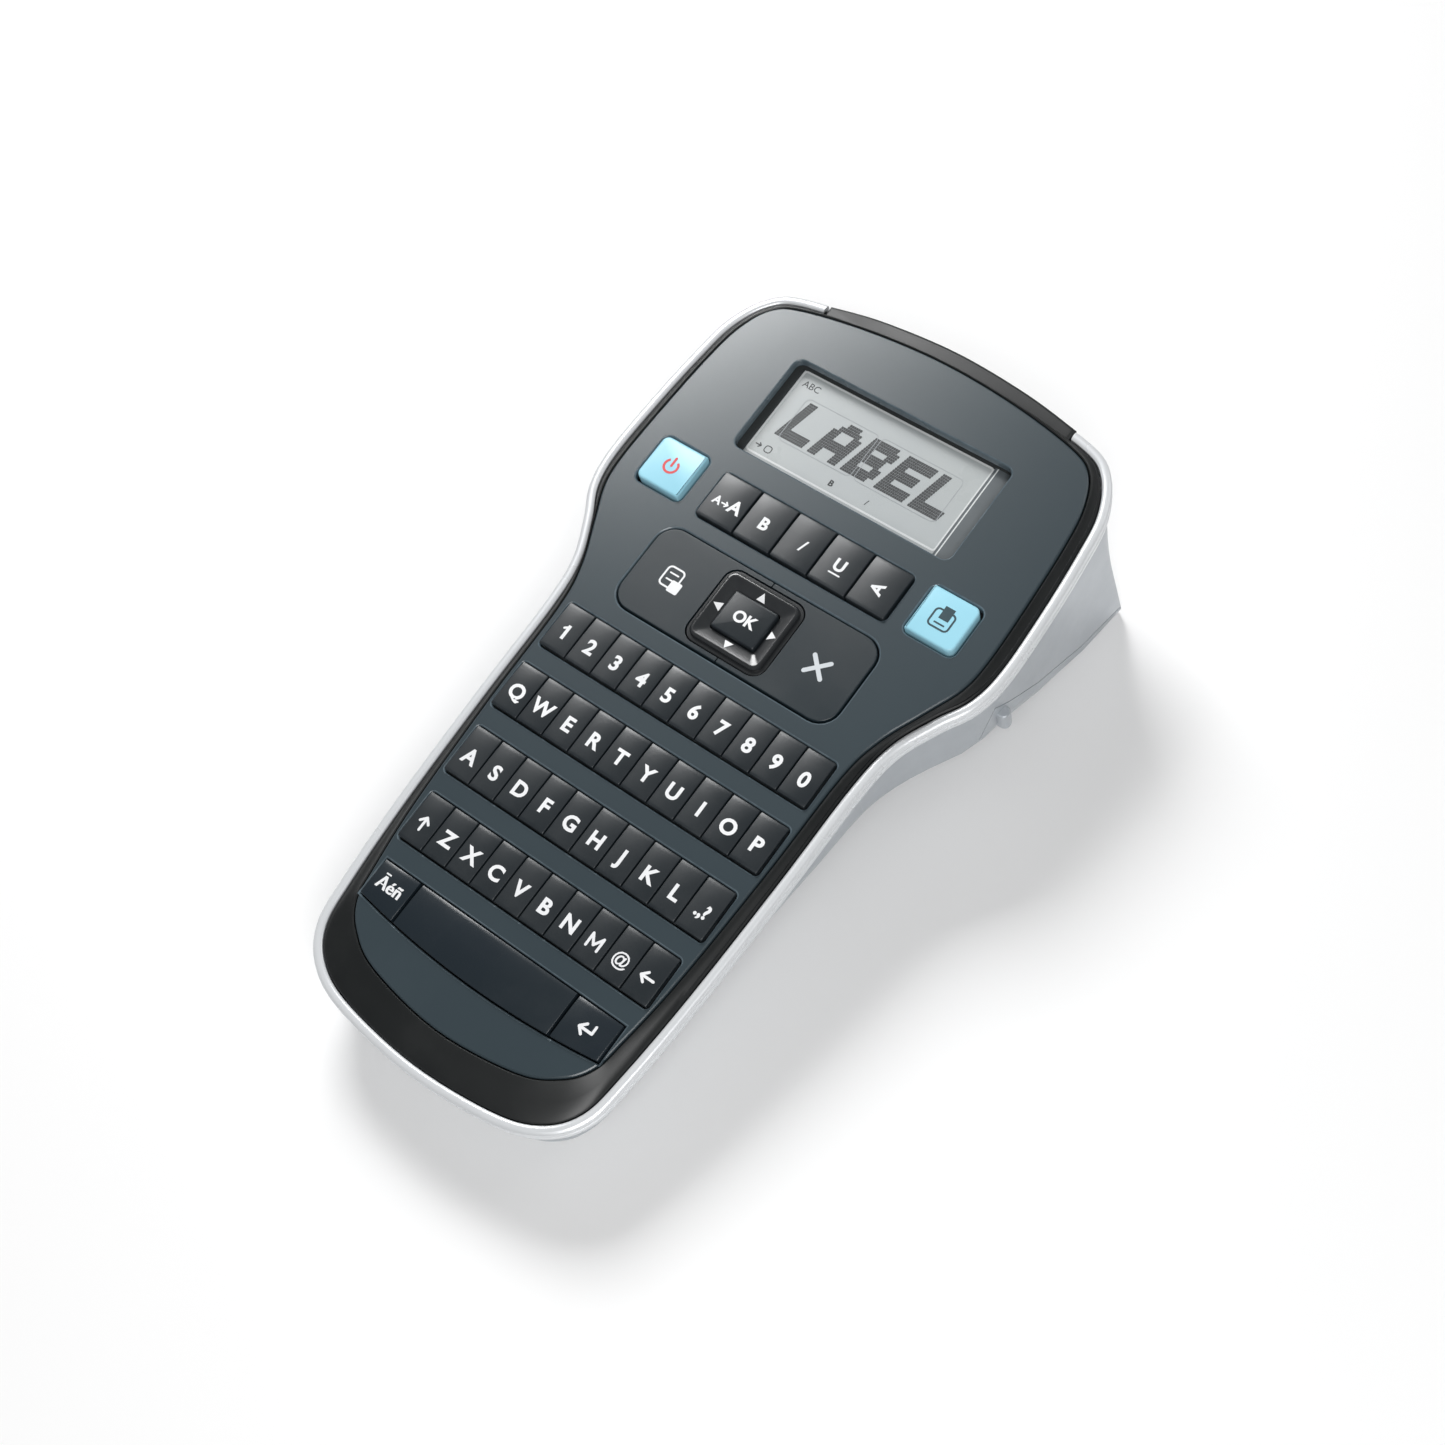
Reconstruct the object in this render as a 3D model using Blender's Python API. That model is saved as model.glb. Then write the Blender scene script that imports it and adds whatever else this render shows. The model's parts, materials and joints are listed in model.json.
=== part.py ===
# Hand-held label maker. A slate face carries the keys and the display; a black trim band and a
# silver rear housing wrap round it, and the housing swells into a deep tape bay behind the head.
#
# Everything is drawn in the face frame, in millimetres: X to the right, Y towards the head, Z out
# of the face, with Z = 0 on the face itself. One empty carries all of it and tilts it back onto
# its rest pads, so the rest plane is Z = 0 of the world.

import math

import bmesh
import bpy
from mathutils import Matrix, Vector

MM = 0.001
GAP = 0.3  # between neighbours that touch on the real thing

# Half outlines, bottom centre to top centre. The plate's edge and the band's outer edge have one
# point for one point, so the band can be lofted between them.
PLATE_EDGE = (
    (0, -94.5), (20, -92), (29, -87.6), (33.6, -82), (35.2, -74), (37.2, -57), (38.7, -28),
    (39.4, -2), (41.6, 9.3), (46.2, 20), (50.0, 29), (51.0, 38), (50.6, 54), (49.6, 70),
    (48.0, 80), (44.3, 87.6), (37.5, 91.2), (20, 94.4), (0, 95.7),
)
BAND_EDGE = (
    (0, -102.8), (20, -101), (30.5, -97.4), (36.6, -90.5), (38.6, -79), (40.2, -58), (41.3, -28),
    (41.8, -2), (43.4, 10.5), (47.9, 20.8), (52.2, 28.6), (53.8, 38), (53.4, 55), (52.3, 70),
    (50.8, 80.5), (46.5, 89), (39.4, 93.2), (20, 96.0), (0, 97.3),
)
# The tape bay's own outline at its deepest, from the waist up: squarer than the rim above it.
BAY_EDGE = (
    (0, -102.8), (20, -101), (30.5, -97.4), (36.6, -90.5), (38.6, -79), (40.2, -58), (41.3, -28),
    (41.8, -2), (43.4, 10.5), (49.3, 20.8), (54.2, 29.5), (55.5, 38), (55.8, 55), (56.0, 70),
    (56.0, 82.6), (46.5, 86.6), (38, 89.2), (20, 92.2), (0, 93.5),
)
BAY_START_Y = 25.0

PLATE_T = 2.0
BAND_DROP = 2.4  # height lost from the plate's edge to the rim
BAND_FOOT = -5.0
RIM_W = 2.4
RIM_TOP = -2.2
RIM_FOOT = -6.5
WALL_INSET = 1.4  # housing wall outside the band's edge, so the rim stands 1 mm proud
WALL_T = 1.8

# Belly of the housing: (y, half width, shoulder depth, belly depth, squareness 0..1)
BELLY = (
    (-112, 30, 1.0, 2.5, 0), (-105, 33, 2.0, 8.0, 0), (-100, 36, 2.5, 14.5, 0),
    (-93, 39, 3.0, 20.5, 0), (-84, 40.6, 3.5, 23.8, 0), (-60, 41.8, 4.0, 25.0, 0),
    (-36, 42.6, 7.0, 25.3, 0), (-16, 43.2, 11.5, 25.8, 0.1), (0, 43.6, 15.0, 26.5, 0.3),
    (12, 46.6, 18.5, 27.5, 0.5), (24, 52.6, 20.5, 28.2, 0.8), (30, 54.8, 19.5, 28.5, 1),
    (36, 56.2, 15.5, 29.4, 1), (48.8, 56.4, 27.0, 37.4, 1), (66, 56.6, 38.5, 45.8, 1),
    (84, 57.0, 46.0, 49.0, 1), (104, 57.0, 46.0, 49.0, 1),
)
# Share of the half width and share of the way from shoulder to belly, side to middle
ROUND_FLANK = ((1, 0), (0.965, 0.32), (0.9, 0.62), (0.79, 0.84), (0.48, 1.0))
SQUARE_FLANK = ((1, 0), (0.955, 0.8), (0.9, 0.93), (0.72, 0.985), (0.4, 1.0))

# Parting line of the cassette cover seen from the side, (y, z)
COVER_LINE = ((33.2, -12.8), (48.8, -27.0), (66, -38.5), (84.4, -46.3))
COVER_HINGE = (84.5, -49.1)
COVER_SWEEP = 35.3  # degrees of arc in its front edge
COVER_SWEEP_STEPS = 6
BATTERY_DOOR = (-31.0, 31.0, -86.0, -24.0)
BATTERY_HINGE = (-23.9, -25.75)
BELOW_ALL = -60.0

# Rest pads: the plane through these two heights is the table
HEAD_PAD = (87.6, -49.8)
GRIP_PAD = (-90.0, -23.9)
HEAD_PAD_X = 22.0
GRIP_PAD_X = 18.0
TILT = math.atan2(GRIP_PAD[1] - HEAD_PAD[1], HEAD_PAD[0] - GRIP_PAD[0])

# Keypad, all in the face plane
KEY_TOP = 0.9
KEY_FOOT = -5.0
FLANGE_TOP = -2.4
FLANGE_FOOT = -3.4
FLANGE_OUT = 0.3
KEY_ROWS = (  # name, half width, top y, bottom y
    ("key_row_digits", 37.2, 0.0, -12.0), ("key_row_upper", 37.3, -17.5, -29.6),
    ("key_row_middle", 36.3, -35.4, -47.8), ("key_row_lower", 35.1, -53.5, -65.7),
)
KEYS_PER_ROW = 10
SPACE_ROW_TOP = -71.4
SPACE_ROW_SIDE = 33.6
SPACE_ROW_CORNER_Y = -80.4
SPACE_ROW_MIDDLE_Y = -83.0
SPACE_SPLITS = (-23.0, 21.5)
STYLE_KEYS = ("size_key", "bold_key", "italic_key", "underline_key", "rotate_key")
STYLE_ROW = (-26.4, 26.1, 33.5, 46.0)
SIDE_BUTTON = 12.4  # square power and print buttons
POWER_AT = (-38.4, 40.4)
PRINT_AT = (37.4, 40.4)
PANEL = (-30.5, 30.5, 5.5, 28.5)
RING = (-10.8, 10.8, 7.0, 27.0)
RING_CORNER = 3.2
RING_RIM = 1.35
RING_DISH = 0.25
OK_PAD = (-6.0, 6.0, 12.0, 22.2)
OK_TOP = 1.35
DISPLAY = (-30.3, 29.9, 53.0, 80.0)

# Inner stack
JACK_AT = (73.0, -13.5)  # y and z of the power inlet, in the left wall
MAT_Z = (-6.8, -6.2)
BOARD_Z = (-8.4, -7.1)
TRAY_Z = (-9.5, -8.7)
CHASSIS_Z = (-13.0, -11.5)
GEAR_Z = (-11.2, -9.4)

CELL_R = 5.1
CELL_LENGTH = 44.5
CELL_PITCH = 10.5
CELL_AXIS_Z = -15.0
CELL_START_Y = -72.5

GEAR_MODULE = 0.6
PINION_TEETH = 10
IDLER_TEETH = 30
PLATEN_TEETH = 28
RIBBON_TEETH = 24
MOTOR_AT = (37.8, 50.0)
IDLER_AT = (30.49, 59.50)
PLATEN_AT = (17.49, 71.065)
RIBBON_AT = (2.29, 67.555)
MOTOR_R = 6.3

CASSETTE = (-27.0, 27.0, 44.0, 82.0, -31.5, -14.0)
CASSETTE_NOTCH = (6.9, 57.0)
ARM_PIVOT = (10.2, 58.6)
TAPE_X = 14.05
ROLL_AT = (-12.5, 59.0)

CUTTER_BAR = (-33.6, 35.1)
CUTTER_NOTCH = (-34.0, 35.5)
SCREWS = (  # x, y, z of the head's underside, length below it
    (-36.2, -14.75, -15.7, 10.5), (36.2, -14.75, -15.7, 10.5), (0.0, -90.5, -16.2, 11.0),
    (-46.5, 62.0, -30.4, 25.0), (46.5, 62.0, -30.4, 25.0),
)
SCREW_BOSS_R = 2.4
SCREW_HOLE_R = 1.6


def clear_scene():
    for obj in list(bpy.data.objects):
        bpy.data.objects.remove(obj)


def make_material(name, colour, roughness, metallic=0.0, alpha=1.0):
    material = bpy.data.materials.new(name)
    material.use_nodes = True
    shader = material.node_tree.nodes["Principled BSDF"]
    shader.inputs["Base Color"].default_value = (*colour, 1.0)
    shader.inputs["Roughness"].default_value = roughness
    shader.inputs["Metallic"].default_value = metallic
    shader.inputs["Alpha"].default_value = alpha
    material.diffuse_color = (*colour, alpha)
    return material


def make_face_frame():
    """The empty that everything hangs from; its place is set once the parts are made."""
    frame = bpy.data.objects.new("face_frame", None)
    frame.rotation_euler = (TILT, 0, 0)
    bpy.context.collection.objects.link(frame)
    return frame


def add_part(frame, name, mesh, material, origin=(0, 0, 0)):
    """Hang a mesh drawn in the face frame from the empty, with its origin at the given point."""
    mesh.name = name
    place = Vector(origin) * MM
    mesh.transform(Matrix.Translation(-place))
    mesh.materials.clear()
    mesh.materials.append(material)
    mesh.shade_smooth()
    mesh.set_sharp_from_angle(angle=math.radians(35))
    part = bpy.data.objects.new(name, mesh)
    part.location = place
    part.parent = frame
    bpy.context.collection.objects.link(part)
    return part


# Outlines ------------------------------------------------------------------------------------


def mirrored_loop(half, smooth, steps=2):
    """Closed loop, anticlockwise from bottom centre, through a half outline and its mirror."""
    left = [(-x, y) for x, y in reversed(half[1:-1])]
    control = [Vector(p) for p in list(half) + left]
    count = len(control)
    loop = []
    for i in range(count):
        a, b, c, d = (control[(i + k) % count] for k in (-1, 0, 1, 2))
        for step in range(steps):
            t = step / steps
            if smooth:
                curve = 2 * b + (c - a) * t
                curve += (2 * a - 5 * b + 4 * c - d) * t**2
                curve += (3 * b - a - 3 * c + d) * t**3
                loop.append(0.5 * curve)
            else:
                loop.append(b.lerp(c, t))
    return loop


def offset_loop(loop, distance):
    """The loop moved outwards along its own normals."""
    count = len(loop)
    moved = []
    for i, point in enumerate(loop):
        run = loop[(i + 1) % count] - loop[i - 1]
        moved.append(point + Vector((run.y, -run.x)).normalized() * distance)
    return moved


def rounded_rect(x0, x1, y0, y1, radius, corners=4, steps=3):
    """Anticlockwise rectangle with round corners, from the lower right one.

    corners is 4, or "left" or "right" for a key that is round on one side only.
    """
    centres = (
        (x1 - radius, y0 + radius, -90, "right"), (x1 - radius, y1 - radius, 0, "right"),
        (x0 + radius, y1 - radius, 90, "left"), (x0 + radius, y0 + radius, 180, "left"),
    )
    loop = []
    for cx, cy, start, side in centres:
        if corners in (4, side):
            for step in range(steps + 1):
                angle = math.radians(start + 90 * step / steps)
                loop.append(Vector((cx + radius * math.cos(angle), cy + radius * math.sin(angle))))
        else:
            corner_x = x1 if side == "right" else x0
            loop.append(Vector((corner_x, y0 if start in (-90, 180) else y1)))
    return loop


def circle(cx, cy, radius, steps=16):
    turn = 2 * math.pi / steps
    return [
        Vector((cx + radius * math.cos(turn * i), cy + radius * math.sin(turn * i)))
        for i in range(steps)
    ]


def ring(loop, z):
    return [(p[0], p[1], z) for p in loop]


# Solids --------------------------------------------------------------------------------------


def loft(rings, closed=False, split=False):
    """Skin a row of equal rings; the ends are capped unless the row closes on itself.

    split halves the faces between the rings, for skins whose quads are not flat.
    """
    bm = bmesh.new()
    rows = [[bm.verts.new(Vector(p) * MM) for p in points] for points in rings]
    count = len(rows[0])
    pairs = list(zip(rows, rows[1:]))
    if closed:
        pairs.append((rows[-1], rows[0]))
    else:
        bm.faces.new(rows[0])
        bm.faces.new(rows[-1])
    for low, high in pairs:
        for i in range(count):
            j = (i + 1) % count
            bm.faces.new((low[i], low[j], high[j], high[i]))
    if split:
        bmesh.ops.triangulate(bm, faces=[face for face in bm.faces if len(face.verts) == 4])
    bmesh.ops.recalc_face_normals(bm, faces=bm.faces)
    mesh = bpy.data.meshes.new("loft")
    bm.to_mesh(mesh)
    bm.free()
    return mesh


def prism(loop, z0, z1):
    return loft([ring(loop, z0), ring(loop, z1)])


def box(x0, x1, y0, y1, z0, z1):
    return prism([Vector(p) for p in ((x0, y0), (x1, y0), (x1, y1), (x0, y1))], z0, z1)


def cylinder(cx, cy, radius, z0, z1, steps=16):
    return prism(circle(cx, cy, radius, steps), z0, z1)


def turned(cx, cy, profile, steps=16):
    """Solid of revolution about a line along Z: profile is (radius, z), end to end."""
    return loft([ring(circle(cx, cy, radius, steps), z) for radius, z in profile])


def tube(cx, cy, outer, inner, z0, z1, steps=16):
    rings = [ring(circle(cx, cy, r, steps), z) for r, z in
             ((inner, z0), (outer, z0), (outer, z1), (inner, z1))]
    return loft(rings, closed=True)


def side_prism(outline, x0, x1):
    """Prism along X of an outline given as (y, z)."""
    return loft([[(x, y, z) for y, z in outline] for x in (x0, x1)])


def combine(body, tools, operation):
    """Boolean of meshes drawn in the face frame, one tool after another."""
    for tool in tools:
        subject = bpy.data.objects.new("subject", body)
        cutter = bpy.data.objects.new("cutter", tool)
        for obj in (subject, cutter):
            bpy.context.collection.objects.link(obj)
        modifier = subject.modifiers.new("combine", 'BOOLEAN')
        modifier.operation = operation
        modifier.solver = 'EXACT'
        modifier.object = cutter
        depsgraph = bpy.context.evaluated_depsgraph_get()
        body = bpy.data.meshes.new_from_object(subject.evaluated_get(depsgraph))
        for obj in (subject, cutter):
            bpy.data.objects.remove(obj)
    return body


def cut(body, tools):
    return combine(body, tools, 'DIFFERENCE')


def join(body, tools):
    return combine(body, tools, 'UNION')


def common(body, tool):
    return combine(body, [tool], 'INTERSECT')


# Casing --------------------------------------------------------------------------------------


def belly_section(station, wall):
    """Closed section across the housing at one y, drawn in XZ."""
    y, width, shoulder, depth, square = station
    half = []
    for soft, hard in zip(ROUND_FLANK, SQUARE_FLANK):
        out = soft[0] + (hard[0] - soft[0]) * square
        down = soft[1] + (hard[1] - soft[1]) * square
        half.append(((width - wall) * out, -(shoulder + (depth - wall - shoulder) * down)))
    half.insert(0, (width - wall, 3.0))
    left = [(-x, z) for x, z in reversed(half)]
    return [(x, y, z) for x, z in half + left]


def housing_solid(wall):
    """The housing below its rim as a solid, or with a wall thickness the cavity inside it."""
    plan = offset_loop(mirrored_loop(BAND_EDGE, True), WALL_INSET - wall)
    bay = offset_loop(mirrored_loop(BAY_EDGE, False), -wall)
    deep = [b if b.y > BAY_START_Y else p for p, b in zip(plan, bay)]
    top = 1.0 if wall else -3.0
    rings = [ring(plan, top), ring(plan, -7.0), ring(deep, -46.0), ring(deep, -60.0)]
    sides = loft(rings, split=True)
    belly = loft([belly_section(station, wall) for station in BELLY], split=True)
    return common(sides, belly)


def cover_region(grow):
    """Everything below the cassette cover's parting line, grown for the housing's side.

    The front edge is an arc about the hinge, so the cover slides past the housing as it opens.
    """
    outline = [(y, z + grow) for y, z in COVER_LINE]
    outline[-1] = (outline[-1][0] + grow, outline[-1][1])
    outline.append((outline[-1][0], BELOW_ALL))
    hinge_y, hinge_z = COVER_HINGE
    run, rise = COVER_LINE[0][0] - hinge_y, COVER_LINE[0][1] - hinge_z
    reach = math.hypot(run, rise) + grow
    start = math.atan2(rise, run)
    for step in range(COVER_SWEEP_STEPS, -1, -1):
        angle = start + math.radians(COVER_SWEEP) * step / COVER_SWEEP_STEPS
        outline.append((hinge_y + reach * math.cos(angle), hinge_z + reach * math.sin(angle)))
    return side_prism(outline, -70.0, 70.0)


def battery_region(grow):
    x0, x1, y0, y1 = BATTERY_DOOR
    return box(x0 - grow, x1 + grow, y0 - grow, y1 + grow, BELOW_ALL, -17.0)


def table_box(x0, x1, at, height):
    """Box whose lower face lies on the table plane under the point (y, z) of a rest pad."""
    pad = box(x0, x1, -2.2, 2.2, 0.0, height)
    pad.transform(Matrix.Rotation(-TILT, 4, 'X'))
    pad.transform(Matrix.Translation(Vector((0, at[0], at[1])) * MM))
    return pad


def screw_posts(outer):
    """Posts that carry the screws, trimmed by the housing's own outer surface."""
    posts = []
    for x, y, _, _ in SCREWS:
        if y > 0:
            side = math.copysign(1, x)
            posts.append(box(*sorted((side * 43.4, side * 53.0)), y - 3, y + 3, -34.0, -9.0))
        else:
            posts.append(common(cylinder(x, y, 2.9, -40.0, -9.0), outer.copy()))
    return posts


def screw_cutters():
    cutters = []
    for x, y, head_z, _ in SCREWS:
        seat = head_z + 0.1
        profile = ((2.8, BELOW_ALL), (2.8, seat), (SCREW_HOLE_R, seat), (SCREW_HOLE_R, 0.0))
        cutters.append(turned(x, y, profile, 12))
    return cutters


def housing_shell():
    """Rear housing and its two covers still in one piece."""
    outer = housing_solid(0.0)
    rim = prism(offset_loop(mirrored_loop(BAND_EDGE, True), RIM_W), RIM_FOOT, RIM_TOP)
    pocket = prism(offset_loop(mirrored_loop(BAND_EDGE, True), GAP), BAND_FOOT - GAP, 2.0)
    posts = screw_posts(outer)
    shell = cut(join(outer, [rim]), [pocket, housing_solid(WALL_T)])
    return shell, posts


def make_casing(frame, finish):
    shell, posts = housing_shell()

    cover = common(shell.copy(), cover_region(0.0))
    tabs = []
    for side in (-1, 1):
        x0, x1 = sorted((side * 53.4, side * 57.1))
        tabs.append(prism(rounded_rect(x0, x1, 33.3, 36.6, 1.4), -23.0, -16.6))
    cover = join(cover, tabs)
    add_part(frame, "cassette_cover", cover, finish["silver"], (0, *COVER_HINGE))

    door = common(shell.copy(), battery_region(0.0))
    x0, x1, y0, y1 = BATTERY_DOOR
    add_part(frame, "battery_cover", door, finish["silver"], (0, *BATTERY_HINGE))

    pads = []
    for x in (-HEAD_PAD_X, HEAD_PAD_X):
        pads.append(table_box(x - 6, x + 6, HEAD_PAD, 3.5))
    for x in (-GRIP_PAD_X, GRIP_PAD_X):
        pads.append(table_box(x - 5, x + 5, GRIP_PAD, 3.5))
    shell = join(shell, posts)
    shell = cut(shell, [cover_region(GAP), battery_region(GAP)])
    shell = join(shell, pads)
    notch = box(*CUTTER_NOTCH, 85.0, 108.0, -14.0, 3.0)
    exit_slot = box(TAPE_X - 1.3, TAPE_X + 1.3, 84.9, 108.0, -31.5, -15.2)
    jack_hole = side_prism([(p.x, p.y) for p in circle(*JACK_AT, 4.2, 12)], -60.0, -44.0)
    shell = cut(shell, [notch, exit_slot, jack_hole] + screw_cutters())
    add_part(frame, "rear_housing", shell, finish["silver"])


def make_trim_band(frame, finish):
    inner = offset_loop(mirrored_loop(PLATE_EDGE, True), GAP)
    outer = mirrored_loop(BAND_EDGE, True)
    rings = [ring(inner, BAND_FOOT), ring(outer, BAND_FOOT), ring(outer, -BAND_DROP), ring(inner, -0.15)]
    band = loft(rings, closed=True)
    notch = box(*CUTTER_NOTCH, 84.0, 108.0, -8.0, -2.35)
    add_part(frame, "trim_band", cut(band, [notch]), finish["black"])


def plate_openings():
    """Cutters for everything that comes up through the face."""
    holes = []
    for _, side, top, bottom in KEY_ROWS:
        holes.append(rounded_rect(-side - GAP, side + GAP, bottom - GAP, top + GAP, 1.0, steps=2))
    holes.append(offset_polygon(space_row_outline(-SPACE_ROW_SIDE, SPACE_ROW_SIDE), GAP))
    x0, x1, y0, y1 = STYLE_ROW
    holes.append(rounded_rect(x0 - GAP, x1 + GAP, y0 - GAP, y1 + GAP, 1.0, steps=2))
    for x, y in (POWER_AT, PRINT_AT):
        reach = SIDE_BUTTON / 2 + 0.6
        holes.append(rounded_rect(x - reach, x + reach, y - reach, y + reach, 1.8, steps=2))
    x0, x1, y0, y1 = PANEL
    holes.append(rounded_rect(x0 - GAP, x1 + GAP, y0 - GAP, y1 + GAP, 5.0))
    holes.append(rounded_rect(*DISPLAY, 2.0))
    return [prism(hole, -4.0, 3.0) for hole in holes]


def make_front_cover(frame, finish):
    plate = prism(mirrored_loop(PLATE_EDGE, True), -PLATE_T, 0.0)
    plate = cut(plate, plate_openings())
    # Each boss is a blind socket: up the inside of the hole, then down the outside
    profile = ((1.5, -4.2), (1.5, -8.7), (SCREW_BOSS_R, -8.7), (SCREW_BOSS_R, -1.0))
    bosses = [turned(x, y, profile, 12) for x, y, _, _ in SCREWS]
    plate = join(plate, bosses)
    add_part(frame, "front_cover", plate, finish["slate"])


# Keys ----------------------------------------------------------------------------------------


def offset_polygon(loop, distance):
    """Outward offset with mitred corners, for outlines with straight sides."""
    count = len(loop)
    moved = []
    for i, point in enumerate(loop):
        before = (point - loop[i - 1]).normalized()
        after = (loop[(i + 1) % count] - point).normalized()
        n0 = Vector((before.y, -before.x))
        n1 = Vector((after.y, -after.x))
        moved.append(point + (n0 + n1) * (distance / (1 + n0.dot(n1))))
    return moved


def space_row_floor(x):
    """Lower edge of the bottom row: an arc that sags to the middle."""
    sag = SPACE_ROW_CORNER_Y - SPACE_ROW_MIDDLE_Y
    return SPACE_ROW_MIDDLE_Y + sag * (x / SPACE_ROW_SIDE) ** 2


def space_row_outline(x0, x1, steps=6):
    floor = [x0 + (x1 - x0) * i / steps for i in range(steps + 1)]
    loop = [Vector((x, space_row_floor(x))) for x in floor]
    return loop + [Vector((x1, SPACE_ROW_TOP)), Vector((x0, SPACE_ROW_TOP))]


def key_cap(loop, top=KEY_TOP, flange=FLANGE_OUT):
    """Key with a retaining flange under the face and a small chamfer round its top."""
    wide = offset_polygon(loop, flange)
    crown = offset_polygon(loop, -0.35)
    return loft([
        ring(loop, KEY_FOOT), ring(loop, FLANGE_FOOT), ring(wide, FLANGE_FOOT),
        ring(wide, FLANGE_TOP), ring(loop, FLANGE_TOP), ring(loop, top - 0.35), ring(crown, top),
    ])


def key_row(side, top, bottom):
    """Ten key tops moulded on one strip: a comb along X, closed below."""
    strip = rounded_rect(-side, side, bottom, top, 0.9, steps=2)
    wide = offset_polygon(strip, FLANGE_OUT)
    body = loft([
        ring(strip, KEY_FOOT), ring(strip, FLANGE_FOOT), ring(wide, FLANGE_FOOT),
        ring(wide, FLANGE_TOP), ring(strip, FLANGE_TOP), ring(strip, KEY_TOP - 0.35),
        ring(offset_polygon(strip, -0.35), KEY_TOP),
    ])
    pitch = 2 * side / KEYS_PER_ROW
    slots = [
        box(-side + pitch * i - 0.2, -side + pitch * i + 0.2, bottom - 1, top + 1, -0.6, KEY_TOP + 1)
        for i in range(1, KEYS_PER_ROW)
    ]
    return cut(body, slots)


def make_keys(frame, finish):
    for name, side, top, bottom in KEY_ROWS:
        add_part(frame, name, key_row(side, top, bottom), finish["key"], (0, (top + bottom) / 2, 0))

    edges = (-SPACE_ROW_SIDE, *SPACE_SPLITS, SPACE_ROW_SIDE)
    names = ("accent_key", "space_bar", "return_key")
    for name, left, right in zip(names, edges, edges[1:]):
        x0 = left if left == edges[0] else left + 0.35
        x1 = right if right == edges[-1] else right - 0.35
        add_part(frame, name, key_cap(space_row_outline(x0, x1)), finish["key"], ((x0 + x1) / 2, -77, 0))

    x0, x1, y0, y1 = STYLE_ROW
    pitch = (x1 - x0) / len(STYLE_KEYS)
    for i, name in enumerate(STYLE_KEYS):
        left = x0 + pitch * i + (0.35 if i else 0)
        right = x0 + pitch * (i + 1) - (0.35 if i < len(STYLE_KEYS) - 1 else 0)
        outline = [Vector(p) for p in ((left, y0), (right, y0), (right, y1), (left, y1))]
        add_part(frame, name, key_cap(outline), finish["key"], ((left + right) / 2, (y0 + y1) / 2, 0))


def make_buttons(frame, finish):
    reach = SIDE_BUTTON / 2
    side_buttons = (("power_button", POWER_AT, "left"), ("print_button", PRINT_AT, "right"))
    for name, (x, y), corners in side_buttons:
        outline = rounded_rect(x - reach, x + reach, y - reach, y + reach, 1.6, corners)
        cap = key_cap(outline, top=1.3, flange=0.9)
        add_part(frame, name, cap, finish["cyan"], (x, y, 0))

    # The two panel keys meet in a seam above and below the ring and share its round opening
    x0, x1, y0, y1 = PANEL
    base = rounded_rect(*RING, RING_CORNER)
    opening = prism(offset_polygon(base, 0.35), -8.0, 4.0)
    halves = (("format_menu_key", -1, (x0, 2.0), "left"), ("cancel_key", 1, (-2.0, x1), "right"))
    for name, side, (left, right), corners in halves:
        key = key_cap(rounded_rect(left, right, y0, y1, 5.0, corners), top=0.2)
        beyond = box(*sorted((side * GAP / 2, -side * 10.0)), y0 - 2, y1 + 2, -8.0, 4.0)
        key = cut(key, [opening.copy(), beyond])
        add_part(frame, name, key, finish["key"], (side * 20.6, 17, 0))

    # The ring is a square dish: its rim stands up and its inner faces fall to the centre pad
    rim = offset_polygon(base, -0.8)
    lip = offset_polygon(rim, -1.1)
    x0, x1, y0, y1 = OK_PAD
    well = rounded_rect(x0 - GAP, x1 + GAP, y0 - GAP, y1 + GAP, 0.7)
    dish = loft([
        ring(base, KEY_FOOT), ring(base, 0.1), ring(rim, 0.1), ring(rim, RING_RIM - 0.4),
        ring(offset_polygon(rim, -0.4), RING_RIM), ring(lip, RING_RIM), ring(well, RING_DISH),
        ring(well, KEY_FOOT),
    ], closed=True)
    add_part(frame, "nav_ring", dish, finish["key"], (0, 17, 0))
    centre = rounded_rect(x0, x1, y0, y1, 0.6, steps=2)
    add_part(frame, "ok_button", loft([
        ring(centre, KEY_FOOT), ring(centre, OK_TOP - 0.4), ring(offset_polygon(centre, -0.4), OK_TOP),
    ]), finish["key"], (0, 17, 0))


# Display and electronics -----------------------------------------------------------------------


def make_display(frame, finish):
    x0, x1, y0, y1 = DISPLAY
    window = prism(rounded_rect(x0 - 2.5, x1 + 2.5, y0 - 2.5, y1 + 2.5, 2.0, steps=2), -3.2, -2.3)
    add_part(frame, "display_window", window, finish["window"])
    glass = box(x0 + 1.5, x1 - 1.5, y0 + 0.5, y1 - 0.4, -5.2, -3.5)
    add_part(frame, "lcd_panel", glass, finish["lcd"])
    carrier = box(x0 - 1.5, x1 + 1.5, y0 - 1.5, y1 + 1.5, -6.8, -3.6)
    pocket = box(x0 + 1.2, x1 - 1.2, y0 + 0.2, y1 - 0.1, -5.5, -3.0)
    add_part(frame, "lcd_frame", cut(carrier, [pocket]), finish["black"])


def stepped_outline(low_side, high_side, y0, y1, y2, y3):
    """Narrow in the grip, wide in the head."""
    right = [(low_side, y0), (low_side, y1), (high_side, y2), (high_side, y3)]
    left = [(-x, y) for x, y in reversed(right)]
    return [Vector(p) for p in right + left]


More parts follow.
